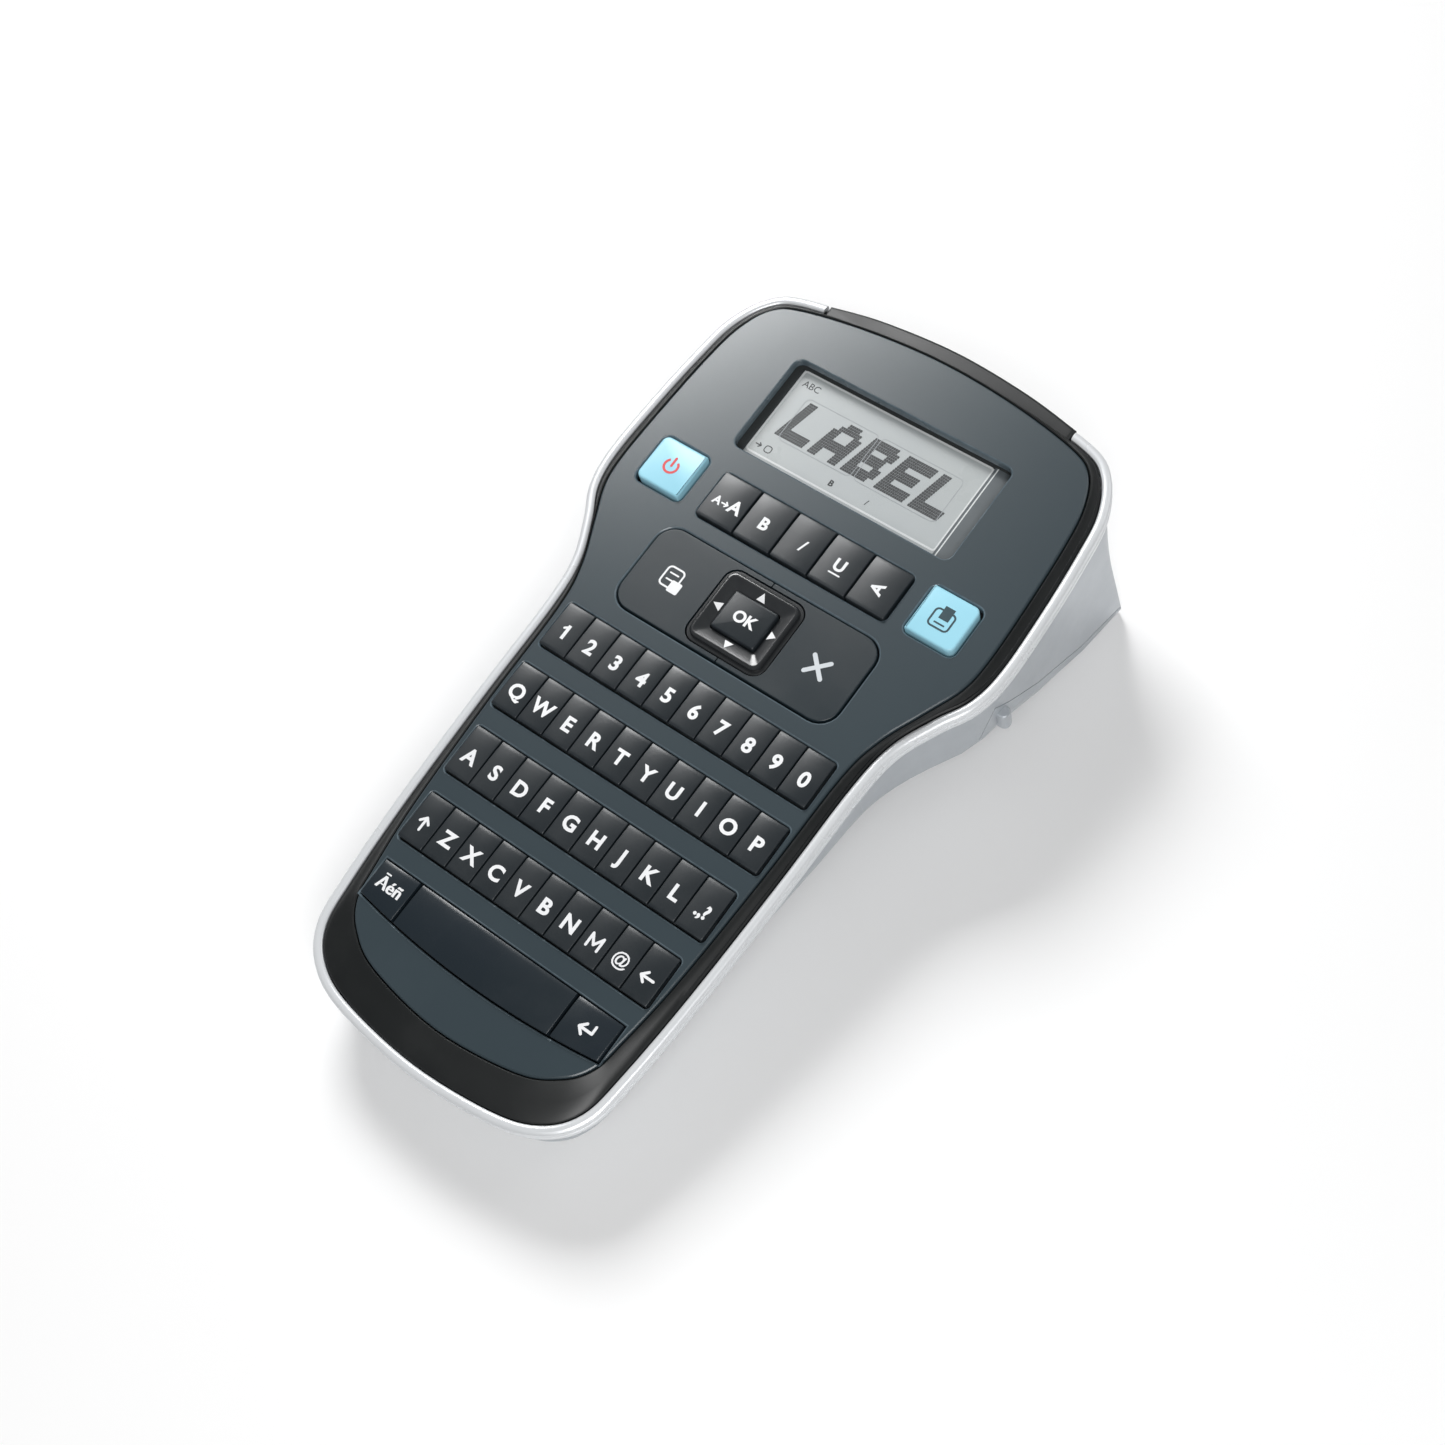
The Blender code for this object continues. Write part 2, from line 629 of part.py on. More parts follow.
def make_electronics(frame, finish):
    mat = prism(stepped_outline(33.2, 43.5, -84.5, 4, 26, 49.0), *MAT_Z)
    add_part(frame, "keypad_mat", mat, finish["mat"])
    board = prism(stepped_outline(33.0, 43.5, -84.0, 4, 24, 84.0), *BOARD_Z)
    add_part(frame, "main_board", board, finish["board"])

    barrel = side_prism([(p.x, p.y) for p in circle(*JACK_AT, 3.7, 12)], -53.0, -48.0)
    block = box(-49.5, -44.5, 68.5, 77.5, -17.8, -9.2)
    bore = side_prism([(p.x, p.y) for p in circle(*JACK_AT, 2.8, 12)], -56.0, -46.0)
    pin = side_prism([(p.x, p.y) for p in circle(*JACK_AT, 0.9, 8)], -52.5, -45.5)
    jack = join(cut(join(block, [barrel]), [bore]), [pin])
    add_part(frame, "power_jack", jack, finish["black"])


def make_cell(x, flip):
    """AAA cell along Y with its small cap at one end."""
    profile = [(CELL_R, 0.0), (CELL_R, CELL_LENGTH - 1.0), (1.9, CELL_LENGTH - 1.0), (1.9, CELL_LENGTH)]
    rings = []
    for radius, run in profile:
        y = CELL_START_Y + (CELL_LENGTH - run if flip else run)
        rings.append([(x + p.x, y, CELL_AXIS_Z + p.y) for p in circle(0, 0, radius, 14)])
    return loft(rings)


def contact_strip(y, facing):
    """Board with one raised contact for each cell."""
    strip = box(-32.0, 32.0, *sorted((y, y + facing * 0.9)), -17.5, -9.9)
    tabs = []
    for i in range(6):
        x = (i - 2.5) * CELL_PITCH
        tabs.append(box(x - 2, x + 2, *sorted((y - facing * 0.6, y + facing * 0.3)), -17.0, -13.0))
    return join(strip, tabs)


def make_power(frame, finish):
    add_part(frame, "battery_tray", box(-32.6, 32.6, -77.5, -28.0, *TRAY_Z), finish["black"])
    for i in range(6):
        x = (i - 2.5) * CELL_PITCH
        cell = make_cell(x, i % 2)
        add_part(frame, f"battery_cell_{i + 1}", cell, finish["cell"], (x, -52, CELL_AXIS_Z))
    top = CELL_START_Y + CELL_LENGTH
    add_part(frame, "contact_strip_upper", contact_strip(top + 0.9, 1), finish["steel"])
    add_part(frame, "contact_strip_lower", contact_strip(CELL_START_Y - 0.9, -1), finish["steel"])


# Tape drive --------------------------------------------------------------------------------------


def gear_loop(at, teeth, first):
    """Trapezoid teeth round a pitch circle; first is the angle of the first tooth's centre."""
    pitch_r = GEAR_MODULE * teeth / 2
    tip_r = pitch_r + 0.42
    root_r = pitch_r - 0.7
    step = 2 * math.pi / teeth
    shape = ((root_r, -0.27), (tip_r, -0.10), (tip_r, 0.10), (root_r, 0.27))
    loop = []
    for i in range(teeth):
        for radius, part in shape:
            angle = first + step * (i + part)
            loop.append(Vector((at[0] + radius * math.cos(angle), at[1] + radius * math.sin(angle))))
    return loop


def meshing_phase(at, teeth, first, mate_at, mate_teeth):
    """First tooth angle of the mate, so that its gap faces this gear's tooth."""
    towards = math.atan2(mate_at[1] - at[1], mate_at[0] - at[0])
    slip = (first - towards) / (2 * math.pi / teeth)
    gap_at = towards + math.pi - slip * 2 * math.pi / mate_teeth
    return gap_at + math.pi / mate_teeth


def geared_shaft(at, teeth, first, shaft_r, shaft_end):
    gear = prism(gear_loop(at, teeth, first), *GEAR_Z)
    return join(gear, [cylinder(*at, shaft_r, shaft_end, GEAR_Z[0] + 0.5, 12)])


def make_gear_train(frame, finish):
    platen_first = math.atan2(IDLER_AT[1] - PLATEN_AT[1], IDLER_AT[0] - PLATEN_AT[0])
    idler_first = meshing_phase(PLATEN_AT, PLATEN_TEETH, platen_first, IDLER_AT, IDLER_TEETH)
    pinion_first = meshing_phase(IDLER_AT, IDLER_TEETH, idler_first, MOTOR_AT, PINION_TEETH)
    ribbon_first = meshing_phase(PLATEN_AT, PLATEN_TEETH, platen_first, RIBBON_AT, RIBBON_TEETH)

    platen = geared_shaft(PLATEN_AT, PLATEN_TEETH, platen_first, 1.5, -29.5)
    add_part(frame, "platen_gear", platen, finish["gear"], (*PLATEN_AT, 0))
    roller = tube(*PLATEN_AT, 3.2, 1.8, -29.0, -14.4)
    add_part(frame, "platen_roller", roller, finish["rubber"], (*PLATEN_AT, 0))

    idler = cut(prism(gear_loop(IDLER_AT, IDLER_TEETH, idler_first), *GEAR_Z),
                [cylinder(*IDLER_AT, 1.6, -14.0, -8.0, 12)])
    add_part(frame, "idler_gear", idler, finish["gear"], (*IDLER_AT, 0))
    pinion = geared_shaft(MOTOR_AT, PINION_TEETH, pinion_first, 0.9, -13.2)
    add_part(frame, "motor_pinion", pinion, finish["brass"], (*MOTOR_AT, 0))
    spindle = geared_shaft(RIBBON_AT, RIBBON_TEETH, ribbon_first, 1.3, -28.0)
    add_part(frame, "ribbon_spindle", spindle, finish["gear"], (*RIBBON_AT, 0))
    spool = tube(*RIBBON_AT, 2.9, 1.6, -27.5, -16.5)
    add_part(frame, "ribbon_spool", spool, finish["mat"], (*RIBBON_AT, 0))

    motor = turned(*MOTOR_AT, ((3.0, -30.0), (3.0, -29.0), (MOTOR_R, -28.6), (MOTOR_R, -13.5)))
    add_part(frame, "motor", motor, finish["steel"])


def make_chassis(frame, finish):
    plate = prism([Vector(p) for p in ((-43, 30), (43, 30), (43, 84), (-43, 84))], *CHASSIS_Z)
    walls = box(-29.7, 29.7, 41.9, 84.1, -29.0, -12.4)
    bay = box(-28.2, 28.2, 43.4, 82.6, -40.0, CHASSIS_Z[0])
    tape_gate = box(TAPE_X - 3, TAPE_X + 3, 80.0, 86.0, -40.0, -14.0)
    pin = cylinder(*IDLER_AT, 1.2, -12.0, -9.2, 12)
    holes = [
        cylinder(*PLATEN_AT, 1.9, -16.0, -8.0, 12), cylinder(*RIBBON_AT, 1.7, -16.0, -8.0, 12),
        cylinder(*MOTOR_AT, 1.4, -16.0, -8.0, 12),
    ]
    chassis = cut(join(plate, [walls, pin]), [bay, tape_gate] + holes)
    add_part(frame, "mechanism_chassis", chassis, finish["frame"])


def make_print_head(frame, finish):
    pivot = (*ARM_PIVOT, 0)
    x, y = ARM_PIVOT
    lever = box(x - 0.6, x + 0.6, y + 0.5, y + 17.5, -28.0, -14.5)
    arm = join(cylinder(x, y, 1.5, -28.0, -13.4, 12), [lever])
    add_part(frame, "head_arm", arm, finish["steel"], pivot)
    head = box(x + 0.9, x + 2.2, y + 5.5, y + 16.5, -27.5, -15.0)
    ridge = box(x + 2.0, x + 3.55, y + 11.0, y + 14.0, -27.0, -15.5)
    add_part(frame, "print_head", join(head, [ridge]), finish["ceramic"], pivot)


def make_cassette(frame, finish):
    x0, x1, y0, y1, z0, z1 = CASSETTE
    nx, ny = CASSETTE_NOTCH

    def el_shape(inset):
        corners = (
            (x0 + inset, y0 + inset), (x1 - inset, y0 + inset), (x1 - inset, ny - inset),
            (nx - inset, ny - inset), (nx - inset, y1 - inset), (x0 + inset, y1 - inset),
        )
        return [Vector(p) for p in corners]

    shell = prism(el_shape(0.0), z0, z1)
    cavity = prism(el_shape(1.2), z0 + 1.4, z1 - 1.4)
    spindle_hole = cylinder(*RIBBON_AT, 1.9, z0 - 2, z1 + 2, 12)
    label_window = box(-24.0, -6.0, y0 + 1.3, y0 + 6.0, z0 - 2, z0 + 2)
    shell = cut(shell, [cavity, spindle_hole, label_window])
    add_part(frame, "cassette_shell", shell, finish["cassette"])
    roll = tube(*ROLL_AT, 12.0, 4.0, -29.6, -16.0, 20)
    add_part(frame, "tape_roll", roll, finish["label"])
    strip = box(TAPE_X - 0.05, TAPE_X + 0.1, 58.0, 84.6, -28.0, -16.0)
    add_part(frame, "label_tape", strip, finish["label"])


def make_cutter(frame, finish):
    left, right = CUTTER_BAR
    outer = ((right, 97.2), (20, 99.9), (0, 101.3), (-20, 99.9), (left, 97.2))
    outline = [Vector(p) for p in ((left, 90.5), (right, 90.5), *outer)]
    crown = [Vector((p.x * 0.985, p.y - 0.6 if p.y > 91 else p.y)) for p in outline]
    bar = loft([ring(outline, -13.6), ring(outline, -3.4), ring(crown, -2.65)])
    add_part(frame, "cutter_bar", bar, finish["black"], (0, 96, -8))
    carriage = box(-8.0, 7.6, 85.0, 87.0, -31.0, -15.0)
    add_part(frame, "cutter_carriage", carriage, finish["frame"], (0, 86, -23))
    edge = loft([
        [(7.9, 85.6, z), (7.9, 86.3, z), (11.9, 86.3, z), (12.6, 85.6, z)] for z in (-31.0, -14.6)
    ])
    add_part(frame, "cutter_blade", edge, finish["steel"], (12.6, 86, -23))


def make_screws(frame, finish):
    for i, (x, y, head_z, length) in enumerate(SCREWS):
        profile = (
            (1.9, head_z - 1.6), (2.4, head_z - 1.2), (2.4, head_z),
            (1.1, head_z), (1.1, head_z + length),
        )
        screw = turned(x, y, profile, 12)
        add_part(frame, f"case_screw_{i + 1}", screw, finish["steel"], (x, y, head_z))


def stand_on_table(frame):
    """Move the empty so the rest pads meet Z = 0 and the origin is under the middle."""
    bpy.context.view_layer.update()
    corners = []
    for part in frame.children:
        corners += [part.matrix_world @ vertex.co for vertex in part.data.vertices]
    for axis in range(2):
        values = [corner[axis] for corner in corners]
        frame.location[axis] -= (min(values) + max(values)) / 2
    frame.location.z -= min(corner.z for corner in corners)


def main():
    clear_scene()
    frame = make_face_frame()
    finish = {
        "slate": make_material("slate", (0.055, 0.078, 0.092), 0.32),
        "black": make_material("black", (0.018, 0.019, 0.019), 0.42),
        "silver": make_material("silver", (0.62, 0.65, 0.68), 0.34, 0.55),
        "key": make_material("key", (0.030, 0.034, 0.038), 0.48),
        "cyan": make_material("cyan", (0.36, 0.70, 0.84), 0.40),
        "mat": make_material("mat", (0.10, 0.10, 0.11), 0.80),
        "window": make_material("window", (0.80, 0.84, 0.84), 0.08, 0.0, 0.3),
        "lcd": make_material("lcd", (0.55, 0.58, 0.56), 0.30),
        "board": make_material("board", (0.02, 0.16, 0.07), 0.45),
        "steel": make_material("steel", (0.60, 0.60, 0.61), 0.30, 1.0),
        "brass": make_material("brass", (0.66, 0.47, 0.17), 0.35, 1.0),
        "cell": make_material("cell", (0.10, 0.10, 0.11), 0.35),
        "gear": make_material("gear", (0.82, 0.81, 0.76), 0.50),
        "rubber": make_material("rubber", (0.03, 0.03, 0.03), 0.85),
        "frame": make_material("frame", (0.16, 0.17, 0.18), 0.55),
        "ceramic": make_material("ceramic", (0.45, 0.43, 0.40), 0.35),
        "cassette": make_material("cassette", (0.07, 0.07, 0.08), 0.50),
        "label": make_material("label", (0.88, 0.88, 0.86), 0.45),
    }
    make_casing(frame, finish)
    make_trim_band(frame, finish)
    make_front_cover(frame, finish)
    make_keys(frame, finish)
    make_buttons(frame, finish)
    make_display(frame, finish)
    make_electronics(frame, finish)
    make_power(frame, finish)
    make_gear_train(frame, finish)
    make_chassis(frame, finish)
    make_print_head(frame, finish)
    make_cassette(frame, finish)
    make_cutter(frame, finish)
    make_screws(frame, finish)
    stand_on_table(frame)


main()
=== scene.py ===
import json
import math

import bpy
from mathutils import Matrix, Vector


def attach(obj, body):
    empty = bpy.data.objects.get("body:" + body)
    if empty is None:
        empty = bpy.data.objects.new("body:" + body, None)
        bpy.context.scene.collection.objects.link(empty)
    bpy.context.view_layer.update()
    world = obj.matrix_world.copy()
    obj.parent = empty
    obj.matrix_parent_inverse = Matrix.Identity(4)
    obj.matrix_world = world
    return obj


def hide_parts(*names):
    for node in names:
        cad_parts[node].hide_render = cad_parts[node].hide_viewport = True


# Label maker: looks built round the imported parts. Shapes are drawn flat on the face in mm,
# X right, Y to the head, Z out of the face, then leaned back onto the table with faceToTable.

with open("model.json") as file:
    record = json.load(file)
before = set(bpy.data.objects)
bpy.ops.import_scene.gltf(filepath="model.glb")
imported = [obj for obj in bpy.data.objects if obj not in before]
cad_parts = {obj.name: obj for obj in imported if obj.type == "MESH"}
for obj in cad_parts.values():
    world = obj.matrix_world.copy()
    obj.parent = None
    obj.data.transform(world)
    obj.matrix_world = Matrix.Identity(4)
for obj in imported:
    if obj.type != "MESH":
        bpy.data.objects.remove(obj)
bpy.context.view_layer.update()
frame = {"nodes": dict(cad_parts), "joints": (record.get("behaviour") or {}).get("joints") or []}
print("frame loaded with", len(frame["nodes"]), "nodes")

mm = 0.001
gap = 0.3  # mm left between neighbours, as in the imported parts

joints = {j["name"]: j for j in frame["joints"]}
faceNormal = Vector(joints["platen_spin"]["axis"]).normalized()
coverHinge = (84.5, -49.1)  # y and z of the tape cover's hinge on the face frame, mm
leanBack = Matrix.Rotation(math.atan2(-faceNormal.y, faceNormal.z), 4, "X")
hingeSpot = Vector(joints["cassette_cover_hinge"]["pos_m"])
faceToTable = Matrix.Translation(hingeSpot - leanBack @ Vector((0, *coverHinge)) * mm) @ leanBack


def pickOnly(*pieces):
    bpy.ops.object.select_all(action="DESELECT")
    for piece in pieces:
        piece.select_set(True)
    bpy.context.view_layer.objects.active = pieces[0]


def settle():
    # writes a moved or scaled piece's place into its mesh
    bpy.ops.object.transform_apply(location=True, rotation=True, scale=True)


def addBlock(name, x0, x1, y0, y1, z0, z1):
    bpy.ops.object.select_all(action="DESELECT")
    middle = Vector((x0 + x1, y0 + y1, z0 + z1)) * mm / 2
    size = Vector((x1 - x0, y1 - y0, z1 - z0)) * mm
    bpy.ops.mesh.primitive_cube_add(size=1, location=middle, scale=size)
    block = bpy.context.object
    block.name = name
    settle()
    return block


def addDisc(name, at, radius, depth, sides=32):
    # at is the middle, mm; the disc's axis is Z
    bpy.ops.object.select_all(action="DESELECT")
    bpy.ops.mesh.primitive_cylinder_add(vertices=sides, radius=radius * mm, depth=depth * mm,
                                        location=Vector(at) * mm)
    disc = bpy.context.object
    disc.name = name
    settle()
    return disc


def editFaces(piece, test):
    # leaves the piece in edit mode with the faces that pass the test selected
    pickOnly(piece)
    bpy.ops.object.mode_set(mode="EDIT")
    bpy.ops.mesh.select_mode(type="FACE")
    bpy.ops.mesh.select_all(action="DESELECT")
    bpy.ops.object.mode_set(mode="OBJECT")
    for polygon in piece.data.polygons:
        polygon.select = test(polygon)
    bpy.ops.object.mode_set(mode="EDIT")


def doneEditing():
    bpy.ops.object.mode_set(mode="OBJECT")


def roundEdges(piece, width, segments=3, angle=35):
    pickOnly(piece)
    soften = piece.modifiers.new("soften", "BEVEL")
    soften.width = width * mm
    soften.segments = segments
    soften.limit_method = "ANGLE"
    soften.angle_limit = math.radians(angle)
    bpy.ops.object.modifier_apply(modifier=soften.name)


def smoothOver(piece, angle=32):
    pickOnly(piece)
    bpy.ops.object.shade_smooth_by_angle(angle=math.radians(angle))


def joinUp(piece, *others):
    pickOnly(piece, *others)
    bpy.ops.object.join()
    return piece


def carve(piece, tool, how="DIFFERENCE"):
    pickOnly(piece)
    step = piece.modifiers.new("carve", "BOOLEAN")
    step.operation = how
    step.solver = "EXACT"
    step.object = tool
    bpy.ops.object.modifier_apply(modifier=step.name)
    bpy.data.objects.remove(tool)


def twin(piece, name):
    other = piece.copy()
    other.data = piece.data.copy()
    other.name = name
    bpy.context.scene.collection.objects.link(other)
    return other


def paint(piece, material):
    piece.data.materials.clear()
    piece.data.materials.append(material)


def place(piece, body, slotName, *nodes):
    # leans the piece back onto the table with the rest and hangs it on its body
    pickOnly(piece)
    piece.matrix_world = faceToTable
    settle()
    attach(piece, body)
    if nodes:
        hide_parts(*nodes)


# the casing's curves come from no primitive, so its outlines are splined and then skinned
def spline(points, steps, closed=True):
    count = len(points)
    points = [Vector(p) for p in points]
    line = []
    for i in range(count if closed else count - 1):
        if closed:
            a, b, c, d = (points[(i + k) % count] for k in (-1, 0, 1, 2))
        else:
            a, b, c, d = (points[min(max(i + k, 0), count - 1)] for k in (-1, 0, 1, 2))
        for step in range(steps):
            t = step / steps
            line.append(0.5 * (2 * b + (c - a) * t + (2 * a - 5 * b + 4 * c - d) * t ** 2
                               + (3 * b - a - 3 * c + d) * t ** 3))
    if not closed:
        line.append(points[-1])
    return line


def wholeLoop(half, steps=4, smooth=True):
    # anticlockwise from bottom centre, through a half outline and its mirror
    ring = list(half) + [(-x, y) for x, y in reversed(half[1:-1])]
    if smooth:
        return spline(ring, steps)
    ring = [Vector(p) for p in ring]
    return [ring[i].lerp(ring[(i + 1) % len(ring)], step / steps)
            for i in range(len(ring)) for step in range(steps)]


def widen(loop, distance):
    count = len(loop)
    moved = []
    for i, point in enumerate(loop):
        before = (point - loop[i - 1]).normalized()
        after = (loop[(i + 1) % count] - point).normalized()
        n0, n1 = Vector((before.y, -before.x)), Vector((after.y, -after.x))
        moved.append(point + (n0 + n1) * (distance / max(0.3, 1 + n0.dot(n1))))
    return moved


def roundBox(x0, x1, y0, y1, radius, corners="both", steps=6):
    # anticlockwise; corners is both, left or right
    loop = []
    for cx, cy, start, side in ((x1 - radius, y0 + radius, -90, "right"),
                                (x1 - radius, y1 - radius, 0, "right"),
                                (x0 + radius, y1 - radius, 90, "left"),
                                (x0 + radius, y0 + radius, 180, "left")):
        bend = radius if corners in ("both", side) else 0.25
        for step in range(steps + 1):
            angle = math.radians(start + 90 * step / steps)
            sideways = 1 if side == "right" else -1
            upwards = 1 if start in (0, 90) else -1
            middle = Vector((cx + sideways * (radius - bend), cy + upwards * (radius - bend)))
            loop.append(middle + Vector((math.cos(angle), math.sin(angle))) * bend)
    return loop


def addMesh(name, corners, faces):
    mesh = bpy.data.meshes.new(name)
    mesh.from_pydata(corners, [], faces)
    piece = bpy.data.objects.new(name, mesh)
    bpy.context.scene.collection.objects.link(piece)
    return piece


def boxAround(x0, x1, y0, y1, margin, *more):
    return roundBox(x0 - margin, x1 + margin, y0 - margin, y1 + margin, *more)


def quarterRound(steps):
    # how far in and how far up each step of a rounded edge lies, as shares of its radius
    angles = [math.radians(90 * step / steps) for step in range(steps + 1)]
    return [(1 - math.cos(a), math.sin(a)) for a in angles]


def skin(name, rings, closed=False, split=False):
    # rings of equal length in mm, each point (x, y, z); open rows get end faces
    count = len(rings[0])
    corners = [Vector(p) * mm for ring in rings for p in ring]
    rows = [list(range(i * count, (i + 1) * count)) for i in range(len(rings))]
    pairs = list(zip(rows, rows[1:])) + ([(rows[-1], rows[0])] if closed else [])
    faces = [] if closed else [rows[0], rows[-1]]
    for low, high in pairs:
        for i in range(count):
            j = (i + 1) % count
            quad = (low[i], low[j], high[j], high[i])
            faces += [quad[:3], (quad[0], quad[2], quad[3])] if split else [quad]
    piece = addMesh(name, corners, faces)
    pickOnly(piece)
    bpy.ops.object.mode_set(mode="EDIT")
    bpy.ops.mesh.select_all(action="SELECT")
    bpy.ops.mesh.normals_make_consistent(inside=False)
    bpy.ops.object.mode_set(mode="OBJECT")
    return piece


def level(loop, z):
    return [(p[0], p[1], z) for p in loop]


def slab(name, loop, z0, z1):
    return skin(name, [level(loop, z0), level(loop, z1)])


def sweepProfile(name, loop, profile):
    # closed section (offset from the loop, z) carried round the loop
    return skin(name, [level(widen(loop, out), z) for out, z in profile], closed=True)


# shared effects: every finish is built from the three groups below
def newEffect(name, inputs, outputs):
    group = bpy.data.node_groups.new(name, "ShaderNodeTree")
    for label, kind, value in inputs:
        group.interface.new_socket(name=label, in_out="INPUT", socket_type=kind).default_value = value
    for label, kind in outputs:
        group.interface.new_socket(name=label, in_out="OUTPUT", socket_type=kind)
    return group, group.nodes.new("NodeGroupInput"), group.nodes.new("NodeGroupOutput")


def addNode(tree, kind, **values):
    node = tree.nodes.new(kind)
    for key, value in values.items():
        setattr(node, key, value)
    return node


def noiseOn(tree, vector, scale, detail=3.0, rough=0.55):
    noise = addNode(tree, "ShaderNodeTexNoise")
    noise.inputs["Detail"].default_value = detail
    noise.inputs["Roughness"].default_value = rough
    tree.links.new(vector, noise.inputs["Vector"])
    if isinstance(scale, (int, float)):
        noise.inputs["Scale"].default_value = scale
    else:
        tree.links.new(scale, noise.inputs["Scale"])
    return noise.outputs["Fac"]


def remap(tree, value, low, high, toLow, toHigh):
    node = addNode(tree, "ShaderNodeMapRange", interpolation_type="SMOOTHSTEP")
    tree.links.new(value, node.inputs["Value"])
    for label, number in (("From Min", low), ("From Max", high), ("To Min", toLow), ("To Max", toHigh)):
        node.inputs[label].default_value = number
    return node.outputs["Result"]


def times(tree, a, b):
    node = addNode(tree, "ShaderNodeMath", operation="MULTIPLY")
    tree.links.new(a, node.inputs[0])
    tree.links.new(b, node.inputs[1])
    return node.outputs[0]


def makeMouldGrain():
    # the fine spark-eroded texture of a plastic moulding, and a slow drift across it
    group, inn, out = newEffect("mouldGrain", [("Vector", "NodeSocketVector", (0, 0, 0)),
                                               ("Scale", "NodeSocketFloat", 5000)],
                                [("Height", "NodeSocketFloat"), ("Drift", "NodeSocketFloat")])
    fine = noiseOn(group, inn.outputs["Vector"], inn.outputs["Scale"], 2.0, 0.6)
    slow = noiseOn(group, inn.outputs["Vector"], 38.0, 4.0, 0.6)
    group.links.new(fine, out.inputs["Height"])
    group.links.new(slow, out.inputs["Drift"])
    return group


def makeEdgeRub():
    # convex edges, broken up by a patchy noise
    group, inn, out = newEffect("edgeRub", [("Vector", "NodeSocketVector", (0, 0, 0)),
                                            ("Amount", "NodeSocketFloat", 0.3)],
                                [("Mask", "NodeSocketFloat")])
    shape = addNode(group, "ShaderNodeNewGeometry")
    sharp = remap(group, shape.outputs["Pointiness"], 0.52, 0.62, 0.0, 1.0)
    patch = remap(group, noiseOn(group, inn.outputs["Vector"], 420.0, 5.0, 0.7), 0.35, 0.65, 0.15, 1.0)
    group.links.new(times(group, times(group, sharp, patch), inn.outputs["Amount"]), out.inputs["Mask"])
    return group


def makeHandlingFilm():
    # thin handling film with a few specks
    group, inn, out = newEffect("handlingFilm", [("Vector", "NodeSocketVector", (0, 0, 0)),
                                                 ("Amount", "NodeSocketFloat", 0.1)],
                                [("Mask", "NodeSocketFloat")])
    cloud = remap(group, noiseOn(group, inn.outputs["Vector"], 70.0, 6.0, 0.65), 0.42, 0.72, 0.0, 1.0)
    speck = remap(group, noiseOn(group, inn.outputs["Vector"], 2600.0, 1.0, 0.5), 0.76, 0.82, 0.0, 0.8)
    both = addNode(group, "ShaderNodeMath", operation="MAXIMUM")
    group.links.new(cloud, both.inputs[0])
    group.links.new(speck, both.inputs[1])
    group.links.new(times(group, both.outputs[0], inn.outputs["Amount"]), out.inputs["Mask"])
    return group


mouldGrain, edgeRub, handlingFilm = makeMouldGrain(), makeEdgeRub(), makeHandlingFilm()


def mixColour(tree, factor, a, b):
    node = addNode(tree, "ShaderNodeMix", data_type="RGBA")
    tree.links.new(factor, node.inputs["Factor"])
    for socket, value in ((node.inputs[6], a), (node.inputs[7], b)):
        if isinstance(value, tuple):
            socket.default_value = (*value, 1.0)
        else:
            tree.links.new(value, socket)
    return node.outputs[2]


grainDepth = 0.00004  # metres
driftRange = (0.3, 0.7)  # the part of the slow noise that carries the drift


def makeFinish(name, tone, shade, rough, spread=0.05, grain=0.12, grainScale=5000, rub=0.25,
               rubTone=None, film=0.06, metal=0.0, coat=0.0, coatRough=0.1):
    material = bpy.data.materials.new(name)
    material.use_nodes = True
    tree = material.node_tree
    shader = tree.nodes["Principled BSDF"]
    spot = addNode(tree, "ShaderNodeTexCoord").outputs["Object"]
    effects = []
    for group in (mouldGrain, edgeRub, handlingFilm):
        node = addNode(tree, "ShaderNodeGroup", node_tree=group)
        tree.links.new(spot, node.inputs["Vector"])
        effects.append(node)
    skinNode, rubNode, filmNode = effects
    skinNode.inputs["Scale"].default_value = grainScale
    rubNode.inputs["Amount"].default_value = rub
    filmNode.inputs["Amount"].default_value = film
    drift = remap(tree, skinNode.outputs["Drift"], *driftRange, 0.0, 1.0)
    colour = mixColour(tree, drift, tone, shade)
    worn = rubTone or tuple(min(1.0, c * 1.6 + 0.04) for c in tone)
    colour = mixColour(tree, rubNode.outputs["Mask"], colour, worn)
    colour = mixColour(tree, filmNode.outputs["Mask"], colour, tuple(c * 0.6 + 0.18 for c in tone))
    tree.links.new(colour, shader.inputs["Base Color"])
    roughness = remap(tree, skinNode.outputs["Drift"], *driftRange, rough - spread, rough + spread)
    duller = addNode(tree, "ShaderNodeMath", operation="MULTIPLY_ADD")
    tree.links.new(filmNode.outputs["Mask"], duller.inputs[0])
    duller.inputs[1].default_value = 0.5
    tree.links.new(roughness, duller.inputs[2])
    tree.links.new(duller.outputs[0], shader.inputs["Roughness"])
    bump = addNode(tree, "ShaderNodeBump")
    bump.inputs["Strength"].default_value = grain
    bump.inputs["Distance"].default_value = grainDepth
    tree.links.new(skinNode.outputs["Height"], bump.inputs["Height"])
    tree.links.new(bump.outputs["Normal"], shader.inputs["Normal"])
    shader.inputs["Metallic"].default_value = metal
    shader.inputs["Coat Weight"].default_value = coat
    shader.inputs["Coat Roughness"].default_value = coatRough
    return material


